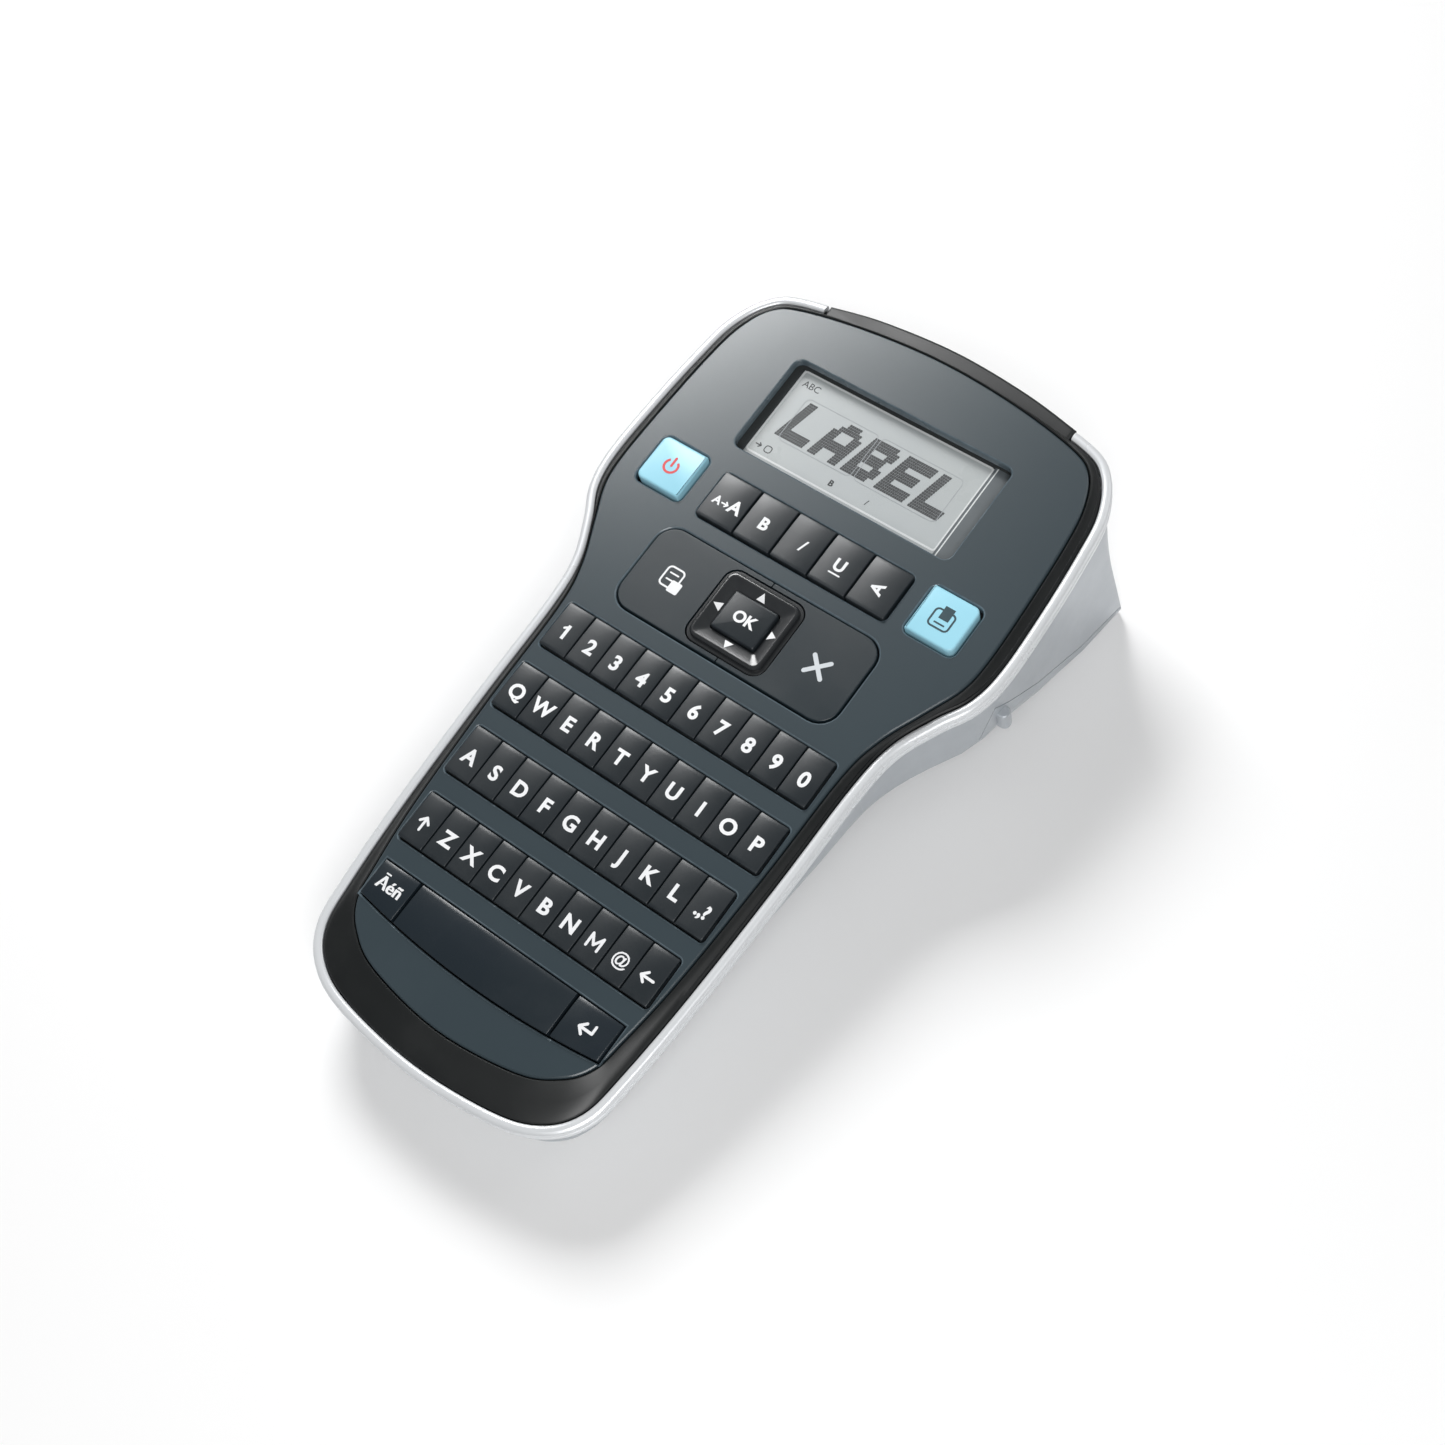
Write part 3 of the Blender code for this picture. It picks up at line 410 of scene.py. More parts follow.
# one entry per finish: tone and shade are the two colours that drift across it
looks = {
    "slatePlate": dict(tone=(0.036, 0.053, 0.063), shade=(0.032, 0.048, 0.058), rough=0.28,
                       spread=0.006, grain=0.02, coat=0.35, coatRough=0.18, rub=0.0, film=0.001),
    # a lighter copy of the plate's slate for the opening chamfers: a painted highlight along each opening's
    # lip, its edge rub lightening the sharpest edges still more
    "slateEdgeHighlight": dict(tone=(0.085, 0.115, 0.135), shade=(0.070, 0.10, 0.12), rough=0.26, grain=0.05,
                      coat=0.3, rub=0.5),
    "blackTrim": dict(tone=(0.0085, 0.010, 0.0105), shade=(0.0065, 0.008, 0.0085), rough=0.42,
                      grain=0.15, rub=0.2, rubTone=(0.05, 0.055, 0.055), film=0.02),
    "silverShell": dict(tone=(0.46, 0.49, 0.52), shade=(0.42, 0.45, 0.48), rough=0.33, spread=0.04,
                        grain=0.08, grainScale=9000, metal=0.35, rub=0.25, rubTone=(0.66, 0.68, 0.70),
                        film=0.05),
    # a lighter copy of the housing's silver for the rim, which is moulded with it: a painted highlight on the
    # flange
    "silverRimHighlight": dict(tone=(0.76, 0.78, 0.80), shade=(0.72, 0.74, 0.76), rough=0.28, spread=0.03,
                      grain=0.05, grainScale=9000, metal=0.2, rub=0.3, rubTone=(0.9, 0.9, 0.9),
                      film=0.03),
    "keyRubber": dict(tone=(0.012, 0.017, 0.021), shade=(0.009, 0.014, 0.018), rough=0.38,
                      grain=0.22, grainScale=7000, rub=0.3, rubTone=(0.16, 0.17, 0.18), film=0.03),
    "panelKey": dict(tone=(0.008, 0.017, 0.023), shade=(0.006, 0.014, 0.019), rough=0.38,
                     grain=0.18, grainScale=7000, rub=0.0, film=0.02),
    "spaceRubber": dict(tone=(0.014, 0.021, 0.028), shade=(0.011, 0.018, 0.024), rough=0.28,
                        grain=0.12, grainScale=7000, rub=0.0, film=0.02),
    "ringRubber": dict(tone=(0.022, 0.024, 0.026), shade=(0.018, 0.020, 0.022), rough=0.26,
                       grain=0.08, rub=0.12, rubTone=(0.16, 0.17, 0.18), coat=0.25, film=0.02),
    "cyanCap": dict(tone=(0.36, 0.71, 0.85), shade=(0.33, 0.67, 0.81), rough=0.34, grain=0.10,
                    rub=0.5, rubTone=(0.75, 0.93, 0.98), film=0.04),
    "legendInk": dict(tone=(0.86, 0.87, 0.88), shade=(0.80, 0.81, 0.83), rough=0.5, grain=0.1, rub=0.0),
    "paleLegend": dict(tone=(0.62, 0.66, 0.69), shade=(0.56, 0.60, 0.63), rough=0.5, grain=0.1, rub=0.0),
    "redInk": dict(tone=(0.70, 0.045, 0.05), shade=(0.62, 0.04, 0.045), rough=0.5, grain=0.1, rub=0.0),
    "tealInk": dict(tone=(0.012, 0.045, 0.06), shade=(0.010, 0.035, 0.05), rough=0.5, grain=0.1, rub=0.0),
    "screenGlass": dict(tone=(0.50, 0.53, 0.53), shade=(0.46, 0.49, 0.50), rough=0.30, grain=0.04,
                        grainScale=14000, rub=0.0, film=0.10, coat=0.3),
    "screenBorder": dict(tone=(0.80, 0.82, 0.82), shade=(0.76, 0.78, 0.79), rough=0.4, rub=0.0),
    "screenInk": dict(tone=(0.012, 0.013, 0.016), shade=(0.010, 0.011, 0.013), rough=0.5, rub=0.0, film=0.0),
    "screenGhost": dict(tone=(0.36, 0.38, 0.40), shade=(0.34, 0.36, 0.38), rough=0.45, rub=0.0),
    "innerStrip": dict(tone=(0.085, 0.10, 0.11), shade=(0.07, 0.085, 0.095), rough=0.35, rub=0.1),
    "matRubber": dict(tone=(0.10, 0.10, 0.11), shade=(0.08, 0.08, 0.09), rough=0.8, rub=0.1),
    "boardGreen": dict(tone=(0.015, 0.14, 0.06), shade=(0.010, 0.10, 0.045), rough=0.4, coat=0.4),
    "springSteel": dict(tone=(0.60, 0.60, 0.61), shade=(0.52, 0.52, 0.54), rough=0.28, metal=1.0,
                        grain=0.1, grainScale=3000),
    "brassGear": dict(tone=(0.66, 0.47, 0.17), shade=(0.58, 0.40, 0.14), rough=0.33, metal=1.0),
    "cellJacket": dict(tone=(0.10, 0.10, 0.11), shade=(0.07, 0.07, 0.08), rough=0.3, coat=0.4),
    "acetalGear": dict(tone=(0.80, 0.79, 0.74), shade=(0.75, 0.74, 0.69), rough=0.45),
    "rollerRubber": dict(tone=(0.025, 0.025, 0.025), shade=(0.02, 0.02, 0.02), rough=0.8, grain=0.3),
    "chassisGrey": dict(tone=(0.15, 0.16, 0.17), shade=(0.12, 0.13, 0.14), rough=0.55, grain=0.3),
    "headCeramic": dict(tone=(0.45, 0.43, 0.40), shade=(0.40, 0.38, 0.35), rough=0.35),
    "cassetteShade": dict(tone=(0.065, 0.065, 0.075), shade=(0.05, 0.05, 0.06), rough=0.45, grain=0.3),
    "labelFilm": dict(tone=(0.86, 0.86, 0.84), shade=(0.82, 0.82, 0.80), rough=0.4, rub=0.0),
}
finish = {name: makeFinish(name, **values) for name, values in looks.items()}


def makeWindowFinish():
    clear = makeFinish("clearWindow", (0.30, 0.33, 0.34), (0.27, 0.30, 0.31), 0.08, spread=0.02,
                       grain=0.0, rub=0.0, film=0.02)
    clear.node_tree.nodes["Principled BSDF"].inputs["Alpha"].default_value = 0.06
    return clear


finish["clearWindow"] = makeWindowFinish()
print("finishes made:", len(finish))

# casing
gripHalf = ((0, -102.8), (20, -101), (30.5, -97.4), (36.6, -90.5), (38.6, -79), (40.2, -58),
            (41.3, -28), (41.8, -2), (43.4, 10.5))
# plateHalf, bandHalf and bayHalf run from bottom centre to top centre in mm; belly is
# (y, half width, shoulder depth, belly depth, squareness)
casing = dict(
    plateHalf=((0, -94.5), (20, -92), (29, -87.6), (33.6, -82), (35.2, -74), (37.2, -57),
               (38.7, -28), (39.4, -2), (41.6, 9.3), (46.2, 20), (50.0, 29), (51.0, 38),
               (50.6, 54), (49.6, 70), (48.0, 80), (44.3, 87.6), (37.5, 91.2), (20, 94.4), (0, 95.7)),
    bandHalf=(*gripHalf, (47.9, 20.8), (52.2, 28.6), (53.8, 38), (53.4, 55), (52.3, 70),
              (50.8, 80.5), (46.5, 89), (39.4, 93.2), (20, 96.0), (0, 97.3)),
    bayHalf=(*gripHalf, (49.3, 20.8), (54.2, 29.5), (55.5, 38), (55.8, 55), (56.0, 70),
             (56.0, 82.6), (46.5, 86.6), (38, 89.2), (20, 92.2), (0, 93.5)),
    bayStartsAt=25.0,
    belly=((-112, 30, 1.0, 2.5, 0), (-105, 33, 2.0, 8.0, 0), (-100, 36, 2.5, 14.5, 0),
           (-93, 39, 3.0, 20.5, 0), (-84, 40.6, 3.5, 23.8, 0), (-60, 41.8, 4.0, 25.0, 0),
           (-36, 42.6, 7.0, 25.3, 0), (-16, 43.2, 11.5, 25.8, 0.1), (0, 43.6, 15.0, 26.5, 0.3),
           (12, 46.6, 18.5, 27.5, 0.5), (24, 52.6, 20.5, 28.2, 0.8), (30, 54.8, 19.5, 28.5, 1),
           (36, 56.2, 15.5, 29.4, 1), (48.8, 56.4, 27.0, 37.4, 1), (66, 56.6, 38.5, 45.8, 1),
           (84, 57.0, 46.0, 49.0, 1), (104, 57.0, 46.0, 49.0, 1)),
    smoothStations=11,  # the grip's stations are splined, the wedge behind them runs straight
    roundFlank=((1, 0), (0.965, 0.32), (0.9, 0.62), (0.79, 0.84), (0.48, 1.0)),
    squareFlank=((1, 0), (0.955, 0.8), (0.9, 0.93), (0.72, 0.985), (0.4, 1.0)),
    wallOut=1.4, wall=1.8, underAll=-60.0, pocket=(-5.3, 2.0),
    coverLine=((33.2, -12.8), (48.8, -27.0), (66, -38.5), (84.4, -46.3)),
    coverSweep=35.3, batteryDoor=(-31.0, 31.0, -86.0, -24.0),
    cutterNotch=(-34.0, 35.5, 85.0, 108.0, -14.0, 3.0), tapeSlot=(84.9, 108.0, -31.5, -15.2),
    tapeX=14.05, tapeSlotHalf=1.3, jack=(73.0, -13.5), jackHole=4.2,
    fingerTab=(53.4, 57.1, 33.3, 36.6, -23.0, -16.6),
    pads=(("headPad", 87.6, -49.8, 22.0, 6), ("gripPad", -90.0, -23.9, 18.0, 5)),
    padSize=(2.2, 3.4), wellRadius=2.8, wellOuter=3.4, screwHole=1.7,
    screws=((-36.2, -14.75, -15.7), (36.2, -14.75, -15.7), (0.0, -90.5, -16.2),
            (-46.5, 62.0, -30.4), (46.5, 62.0, -30.4)),
)
plateLoop = wholeLoop(casing["plateHalf"], 6)
bandLoop = wholeLoop(casing["bandHalf"], 6)
bayLoop = wholeLoop(casing["bayHalf"], 6, smooth=False)


def bellySection(station, inset):
    y, half, shoulder, depth, square = station
    soft = spline(casing["roundFlank"], 4, closed=False)
    hard = spline(casing["squareFlank"], 4, closed=False)
    side = [(half - inset, 3.0)]
    for s, h in zip(soft, hard):
        share = s.lerp(h, square)
        side.append(((half - inset) * share.x, -(shoulder + (depth - inset - shoulder) * share.y)))
    return [(x, y, z) for x, z in side + [(-x, z) for x, z in reversed(side)]]


def shellSolid(name, inset):
    plan = widen(bandLoop, casing["wallOut"] - inset)
    bay = widen(bayLoop, -inset)
    deep = [b if b.y > casing["bayStartsAt"] else p for p, b in zip(plan, bay)]
    top = 1.0 if inset else -3.0
    rings = [level(plan, top), level(plan, -7.0), level(deep, -46.0), level(deep, casing["underAll"])]
    sides = skin(name, rings, split=True)
    smooth = casing["smoothStations"]
    stations = spline(casing["belly"][:smooth], 3, closed=False)[:-1]
    stations += [Vector(s) for s in casing["belly"][smooth - 1:]]
    belly = skin("belly", [bellySection(s, inset) for s in stations], split=True)
    carve(sides, belly, "INTERSECT")
    return sides


def coverRegion(grow):
    # all below the tape cover's parting line; its front edge is an arc about the hinge
    side = [(y, z + grow) for y, z in casing["coverLine"]]
    side[-1] = (side[-1][0] + grow, side[-1][1])
    side.append((side[-1][0], casing["underAll"]))
    run, rise = (a - b for a, b in zip(casing["coverLine"][0], coverHinge))
    reach, start = math.hypot(run, rise) + grow, math.atan2(rise, run)
    for step in range(12, -1, -1):
        angle = start + math.radians(casing["coverSweep"]) * step / 12
        side.append((coverHinge[0] + reach * math.cos(angle), coverHinge[1] + reach * math.sin(angle)))
    return skin("coverRegion", [[(x, y, z) for y, z in side] for x in (-70, 70)])


def doorRegion(grow):
    x0, x1, y0, y1 = casing["batteryDoor"]
    return addBlock("doorRegion", x0 - grow, x1 + grow, y0 - grow, y1 + grow, casing["underAll"], -17)


def jackHole():
    (middleY, middleZ), radius = casing["jack"], casing["jackHole"]
    ring = [(middleY + radius * math.cos(a), middleZ + radius * math.sin(a))
            for a in (math.tau * i / 32 for i in range(32))]
    return skin("sideHole", [[(x, y, z) for y, z in ring] for x in (-60.0, -44.0)])


def cleanShading(piece, angle=30):
    smoothOver(piece, angle)
    pickOnly(piece)
    even = piece.modifiers.new("even", "WEIGHTED_NORMAL")
    even.keep_sharp = True
    bpy.ops.object.modifier_apply(modifier=even.name)


def restPad(name, x, y, z, halfWidth):
    # a small foot whose face lies on the table
    halfDeep, high = casing["padSize"]
    pad = addBlock(name, x - halfWidth, x + halfWidth, -halfDeep, halfDeep, 0.0, high)
    roundEdges(pad, 0.5)
    tip = Matrix.Rotation(-math.atan2(-faceNormal.y, faceNormal.z), 4, "X")
    pickOnly(pad)
    pad.matrix_world = Matrix.Translation(Vector((0, y, z)) * mm) @ tip
    settle()
    return pad


def makeCasing():
    shell = shellSolid("rearHousing", 0.0)
    carve(shell, shellSolid("hollow", casing["wall"]))
    cover = twin(shell, "cassetteCover")
    carve(cover, coverRegion(0.0), "INTERSECT")
    door = twin(shell, "batteryCover")
    carve(door, doorRegion(0.0), "INTERSECT")
    carve(shell, coverRegion(gap))
    carve(shell, doorRegion(gap))
    carve(shell, slab("pocket", widen(bandLoop, gap), *casing["pocket"]))

    # rim: a rounded flange with a fine groove under it
    profile = ((gap, -5.4), (gap, -2.5), (0.55, -2.22), (0.95, -2.08), (1.55, -2.06), (2.05, -2.2),
               (2.38, -2.5), (2.5, -2.95), (2.5, -3.75), (2.36, -3.98), (1.95, -4.1), (1.95, -4.32),
               (2.36, -4.44), (2.5, -4.65), (2.5, -5.7), (2.35, -6.2), (1.95, -6.45), (1.0, -6.5),
               (-0.3, -6.5), (-0.3, -5.4))
    rim = sweepProfile("rim", bandLoop, profile)
    for piece in (shell, rim):
        carve(piece, addBlock("notch", *casing["cutterNotch"]))
    tapeX, half = casing["tapeX"], casing["tapeSlotHalf"]
    carve(shell, addBlock("exitSlot", tapeX - half, tapeX + half, *casing["tapeSlot"]))
    carve(shell, jackHole())
    posts = []
    for x, y, headZ in casing["screws"]:
        if y < 0:
            foot = casing["underAll"]
            carve(shell, addDisc("screwWell", (x, y, (headZ + foot) / 2), casing["wellRadius"], headZ - foot))
            posts.append(wellWall(x, y, headZ))
    # the rim is painted a lighter silver than the shell it is moulded with, a painted highlight on its flange
    for piece, look in ((shell, "silverShell"), (rim, "silverRimHighlight")):
        cleanShading(piece)
        paint(piece, finish[look])
    joinUp(shell, *posts)
    place(shell, "housing", "silver_plastic", "rear_housing")
    place(rim, "housing", "silver_plastic")

    inner, outer, y0, y1, z0, z1 = casing["fingerTab"]
    for side in (-1, 1):
        tab = slab("tab", roundBox(*sorted((side * inner, side * outer)), y0, y1, 1.5), z0, z1)
        roundEdges(tab, 0.5)
        cleanShading(tab)
        paint(tab, finish["silverShell"])
        joinUp(cover, tab)
    for piece, node in ((cover, "cassette_cover"), (door, "battery_cover")):
        cleanShading(piece)
        paint(piece, finish["silverShell"])
        place(piece, node, "silver_plastic", node)

    for label, y, z, reach, halfWidth in casing["pads"]:
        for side, where in ((-1, "Left"), (1, "Right")):
            pad = restPad(label + where, side * reach, y, z, halfWidth)
            cleanShading(pad)
            paint(pad, finish["silverShell"])
            place(pad, "housing", "silver_plastic")


def wellWall(x, y, headZ):
    # tube round a screw, from its seat up towards the face
    ring = [Vector((x + math.cos(a), y + math.sin(a))) for a in (math.tau * i / 24 for i in range(24))]
    middle = Vector((x, y))
    well, outer, hole = casing["wellRadius"], casing["wellOuter"], casing["screwHole"]
    rings = [level([middle + (p - middle) * r for p in ring], z)
             for r, z in ((well, headZ - 2.0), (outer, headZ - 2.0), (outer, -9.0), (hole, -9.0),
                          (hole, headZ + 0.1), (well, headZ + 0.1))]
    tube = skin("wellWall", rings, closed=True)
    paint(tube, finish["silverShell"])
    return tube


makeCasing()
print("casing made")


# trim band and face plate
face = dict(
    bandFoot=-5.0, plateThickness=2.0,
    rows=((37.2, 0.0, -12.0), (37.3, -17.5, -29.6), (36.3, -35.4, -47.8), (35.1, -53.5, -65.7)),
    spaceRow=(-71.4, 33.6, -80.4, -83.0), spaceSplits=(-23.0, 21.5),
    styleRow=(-26.4, 26.1, 33.5, 46.0), sideButton=12.4,
    power=(-38.4, 40.4), printer=(37.4, 40.4),
    panel=(-30.5, 30.5, 5.5, 28.5), display=(-30.3, 29.9, 53.0, 80.0),
    edgeWidth=0.42,  # the small chamfer round the plate and its openings
    bandSlope=(-0.42, -2.2),  # heights of the band's slope beside the plate and at its rim
    bossMiddle=-5.35, bossRadius=2.4, bossHigh=6.7, bossWall=0.9, bossBore=4.5,
)


def spaceFloor(x):
    top, side, corner, middle = face["spaceRow"]
    return middle + (corner - middle) * (x / side) ** 2


def spaceOutline(x0, x1, steps=10):
    floor = [Vector((x0 + (x1 - x0) * i / steps, spaceFloor(x0 + (x1 - x0) * i / steps)))
             for i in range(steps + 1)]
    return floor + [Vector((x1, face["spaceRow"][0])), Vector((x0, face["spaceRow"][0]))]


def openings():
    holes = []
    for side, top, bottom in face["rows"]:
        holes.append(boxAround(-side, side, bottom, top, gap, 1.0))
    side = face["spaceRow"][1]
    holes.append(widen(spaceOutline(-side, side), gap))
    holes.append(boxAround(*face["styleRow"], gap, 1.6))
    for x, y in (face["power"], face["printer"]):
        holes.append(boxAround(x, x, y, y, face["sideButton"] / 2 + 0.6, 1.9))
    holes.append(boxAround(*face["panel"], gap, 5.2))
    holes.append(roundBox(*face["display"], 2.0))
    return holes


def makeFace():
    inner = widen(plateLoop, gap)
    rings = [level(inner, face["bandFoot"]), level(bandLoop, face["bandFoot"]),
             level(bandLoop, -2.75), level(widen(bandLoop, -0.12), -2.52),
             level(widen(bandLoop, -0.42), -2.32)]
    high, low = face["bandSlope"]
    for share in (0.75, 0.5, 0.25):
        loop = [a.lerp(b, share) for a, b in zip(inner, bandLoop)]
        rings.append(level(loop, high + (low - high) * share))
    rings += [level(widen(inner, 0.25), -0.3), level(inner, -0.5)]
    band = skin("trimBand", rings, closed=True)
    x0, x1 = casing["cutterNotch"][:2]
    carve(band, addBlock("notch", x0, x1, 84.0, 108.0, -8.0, -2.35))
    cleanShading(band)
    paint(band, finish["blackTrim"])
    place(band, "housing", "trim_plastic", "trim_band")

    depth, edge = -face["plateThickness"], face["edgeWidth"]
    plate = skin("facePlate", [level(plateLoop, depth), level(plateLoop, -edge),
                               level(widen(plateLoop, -0.14), -0.16), level(widen(plateLoop, -edge), 0.0)])
    rims = []
    for i, hole in enumerate(openings()):
        carve(plate, slab("cutHole", widen(hole, edge), -4.0, 3.0))
        rims.append(sweepProfile(f"openingEdge{i}", hole,
                                 ((edge, 0.0), (0.12, -0.14), (0.0, -edge), (0.0, depth), (edge, depth))))
    cleanShading(plate, 25)
    paint(plate, finish["slatePlate"])
    # the opening chamfers take a lighter slate than the plate around them: a painted highlight on each lip
    for rim in rims:
        cleanShading(rim, 50)
        paint(rim, finish["slateEdgeHighlight"])
    joinUp(rims[0], *rims[1:])
    rims[0].name = "openingEdges"
    bosses = []
    for x, y, _ in casing["screws"]:
        boss = addDisc("boss", (x, y, face["bossMiddle"]), face["bossRadius"], face["bossHigh"], 24)
        editFaces(boss, lambda f: f.normal.z < -0.9)
        bpy.ops.mesh.inset(thickness=face["bossWall"] * mm)
        bpy.ops.mesh.extrude_region_move(TRANSFORM_OT_translate={"value": (0, 0, face["bossBore"] * mm)})
        doneEditing()
        paint(boss, finish["slatePlate"])
        bosses.append(boss)
    joinUp(plate, *bosses)
    place(plate, "housing", "face_plate", "front_cover")
    place(rims[0], "housing", "face_plate")


makeFace()
print("face made")


# flat marks: legends and icons stand a hair proud of what they are printed on
marks = dict(lift=0.012, thickness=0.03, bold=0.034,
             stack=0.002)  # strokes that cross stand this far apart in height


def flatMark(name, loop, z):
    return slab(name, loop, z, z + marks["thickness"])


def capsule(name, ax, ay, bx, by, width, z):
    run = Vector((bx - ax, by - ay))
    along = math.atan2(run.y, run.x)
    loop = []
    for x, y, start in ((bx, by, -90), (ax, ay, 90)):
        for step in range(7):
            angle = along + math.radians(start + 30 * step)
            loop.append(Vector((x + width / 2 * math.cos(angle), y + width / 2 * math.sin(angle))))
    return flatMark(name, loop, z)


def writeOn(name, words, x, y, z, size, turn=0, slant=0.0, bold=None):
    bpy.ops.object.select_all(action="DESELECT")
    bpy.ops.object.text_add(location=(0, 0, 0))
    text = bpy.context.object
    text.name = name
    text.data.body = words
    text.data.align_x = "CENTER"
    text.data.align_y = "CENTER"
    text.data.size = size * mm
    text.data.offset = (marks["bold"] if bold is None else bold) * size * mm
    text.data.extrude = marks["thickness"] / 2 * mm
    text.data.resolution_u = 4
    text.data.shear = slant
    bpy.ops.object.convert(target="MESH")
    text.location = Vector((x, y, z + marks["thickness"] / 2)) * mm
    text.rotation_euler = (0, 0, math.radians(turn))
    settle()
    return text


def arrowMark(name, x, y, z, size, turn=0, width=0.62):
    # shaft along +X with an open head
    parts = []
    for i, (ax, ay, bx, by) in enumerate(((-1.6, 0, 1.5, 0), (0.35, 1.2, 1.6, 0), (0.35, -1.2, 1.6, 0))):
        a = Matrix.Rotation(math.radians(turn), 2) @ Vector((ax, ay)) * size
        b = Matrix.Rotation(math.radians(turn), 2) @ Vector((bx, by)) * size
        parts.append(capsule(name, x + a.x, y + a.y, x + b.x, y + b.y, width * size,
                             z + marks["stack"] * i))
    return joinUp(*parts)


def triangleMark(name, x, y, z, size, turn):
    loop = [Vector((x, y)) + Matrix.Rotation(math.radians(turn), 2) @ Vector(p) * size
            for p in ((-0.5, -0.55), (0.5, 0.0), (-0.5, 0.55))]
    return flatMark(name, loop, z)


def printOn(piece, ink, *shapes):
    # joins marks to a painted piece, each face keeping its own finish
    for shape in shapes:
        paint(shape, ink)
    return joinUp(piece, *shapes)


# keys
keys = dict(
    top=0.9, foot=-4.9, stripTop=-0.55, betweenCaps=0.34, edge=0.2,
    crown=((0.0, 0.28), (0.08, 0.17), (0.17, 0.09), (0.28, 0.035), (0.4, 0.0), (0.93, 0.0), (1.0, 0.05)),
    legendSize=5.0, legendAt=0.58, spaceRowDepth=12.2, spaceHalfSeam=0.35, styleHalfSeam=0.25,
    accentAt=-76.2, returnAt=-76.6, styleLegendAt=0.56,
    rows=(("Digits", "key_row_digits", "1234567890"), ("Upper", "key_row_upper", "QWERTYUIOP"),
          ("Middle", "key_row_middle", "ASDFGHJKL?"), ("Lower", "key_row_lower", "^ZXCVBNM@<")),
    styleNames=("size_key", "bold_key", "italic_key", "underline_key", "rotate_key"),
)


def crownTop(cap, top, y0, y1):
    # bisects the cap into rows and lowers the rows near its head edge to a rounded shoulder
    rows = [(y1 - (y1 - y0) * share, drop) for share, drop in keys["crown"]]
    for y, _ in rows[1:-1]:
        editFaces(cap, lambda f: True)
        bpy.ops.mesh.bisect(plane_co=(0, y * mm, 0), plane_no=(0, 1, 0))
        doneEditing()
    for y, drop in rows:
        bpy.ops.object.mode_set(mode="EDIT")
        bpy.ops.mesh.select_mode(type="VERT")
        bpy.ops.mesh.select_all(action="DESELECT")
        bpy.ops.object.mode_set(mode="OBJECT")
        for v in cap.data.vertices:
            v.select = abs(v.co.y - y * mm) < 1e-6 and v.co.z > (top - 0.01) * mm
        bpy.ops.object.mode_set(mode="EDIT")
        bpy.ops.transform.translate(value=(0, 0, -drop * mm))
        doneEditing()


def crownedCap(name, x0, x1, y0, y1, foot=None):
    cap = addBlock(name, x0, x1, y0, y1, keys["stripTop"] if foot is None else foot, keys["top"])
    crownTop(cap, keys["top"], y0, y1)
    roundEdges(cap, keys["edge"], 3, 40)
    smoothOver(cap, 50)
    return cap


def fitCap(master, name, x0, x1, y0, y1):
    # a copy of the master cap stretched to its own place in the row
    cap = twin(master, name)
    pickOnly(cap)
    low = [min(v.co[i] for v in cap.data.vertices) / mm for i in (0, 1)]
    high = [max(v.co[i] for v in cap.data.vertices) / mm for i in (0, 1)]
    sx, sy = (x1 - x0) / (high[0] - low[0]), (y1 - y0) / (high[1] - low[1])
    cap.scale = (sx, sy, 1)
    cap.location = Vector((x0 - low[0] * sx, y0 - low[1] * sy, 0)) * mm
    settle()
    return cap


def keyLegend(name, letter, x, y, z):
    size = keys["legendSize"]
    if letter == "^":
        return arrowMark(name, x, y, z, 1.0, 90)
    if letter == "<":
        return arrowMark(name, x, y, z, 1.0, 180)
    if letter == "?":
        return writeOn(name, ".,?", x, y, z, size * 0.86)
    if letter == "1":
        return joinUp(writeOn(name, letter, x + 0.25, y, z, size),
                      capsule("flag", x - 0.75, y + 0.95, x + 0.15, y + 1.55, 0.55, z + marks["stack"]))
    if letter == "M":
        # the font's strokes cross if they are grown, so this letter is drawn with bars
        bars = ((-1.45, -1.5, -1.45, 1.5), (1.45, -1.5, 1.45, 1.5),
                (-1.45, 1.5, 0, -0.7), (1.45, 1.5, 0, -0.7))
        return joinUp(*[capsule(name, x + ax, y + ay, x + bx, y + by, 0.62, z + marks["stack"] * i)
                        for i, (ax, ay, bx, by) in enumerate(bars)])
    if letter == "@":
        return writeOn(name, "@", x, y, z, size * 0.82, bold=0.01)
    return writeOn(name, letter, x, y, z, size)


def makeLetterKeys():
    ink = finish["legendInk"]
    z = keys["top"] + marks["lift"]
    half = keys["betweenCaps"] / 2
    side, top, bottom = face["rows"][0]
    pitch = 2 * side / 10
    master = crownedCap("masterCap", -pitch / 2 + half, pitch / 2 - half, bottom, top)
    for (label, body, letters), (side, top, bottom) in zip(keys["rows"], face["rows"]):
        strip = slab(f"strip{label}", roundBox(-side, side, bottom, top, 0.9), keys["foot"], keys["stripTop"])
        paint(strip, finish["keyRubber"])
        place(strip, body, "key_rubber", body)
        pitch = 2 * side / 10
        for i, letter in enumerate(letters):
            x0 = -side + pitch * i + (half if i else 0)
            x1 = -side + pitch * (i + 1) - (half if i < 9 else 0)
            cap = fitCap(master, f"cap{label}{i + 1}", x0, x1, bottom, top)
            paint(cap, finish["keyRubber"])
            y = top + (bottom - top) * keys["legendAt"]
            printOn(cap, ink, keyLegend("legend", letter, (x0 + x1) / 2, y, z))
            place(cap, body, "key_rubber")
    bpy.data.objects.remove(master)


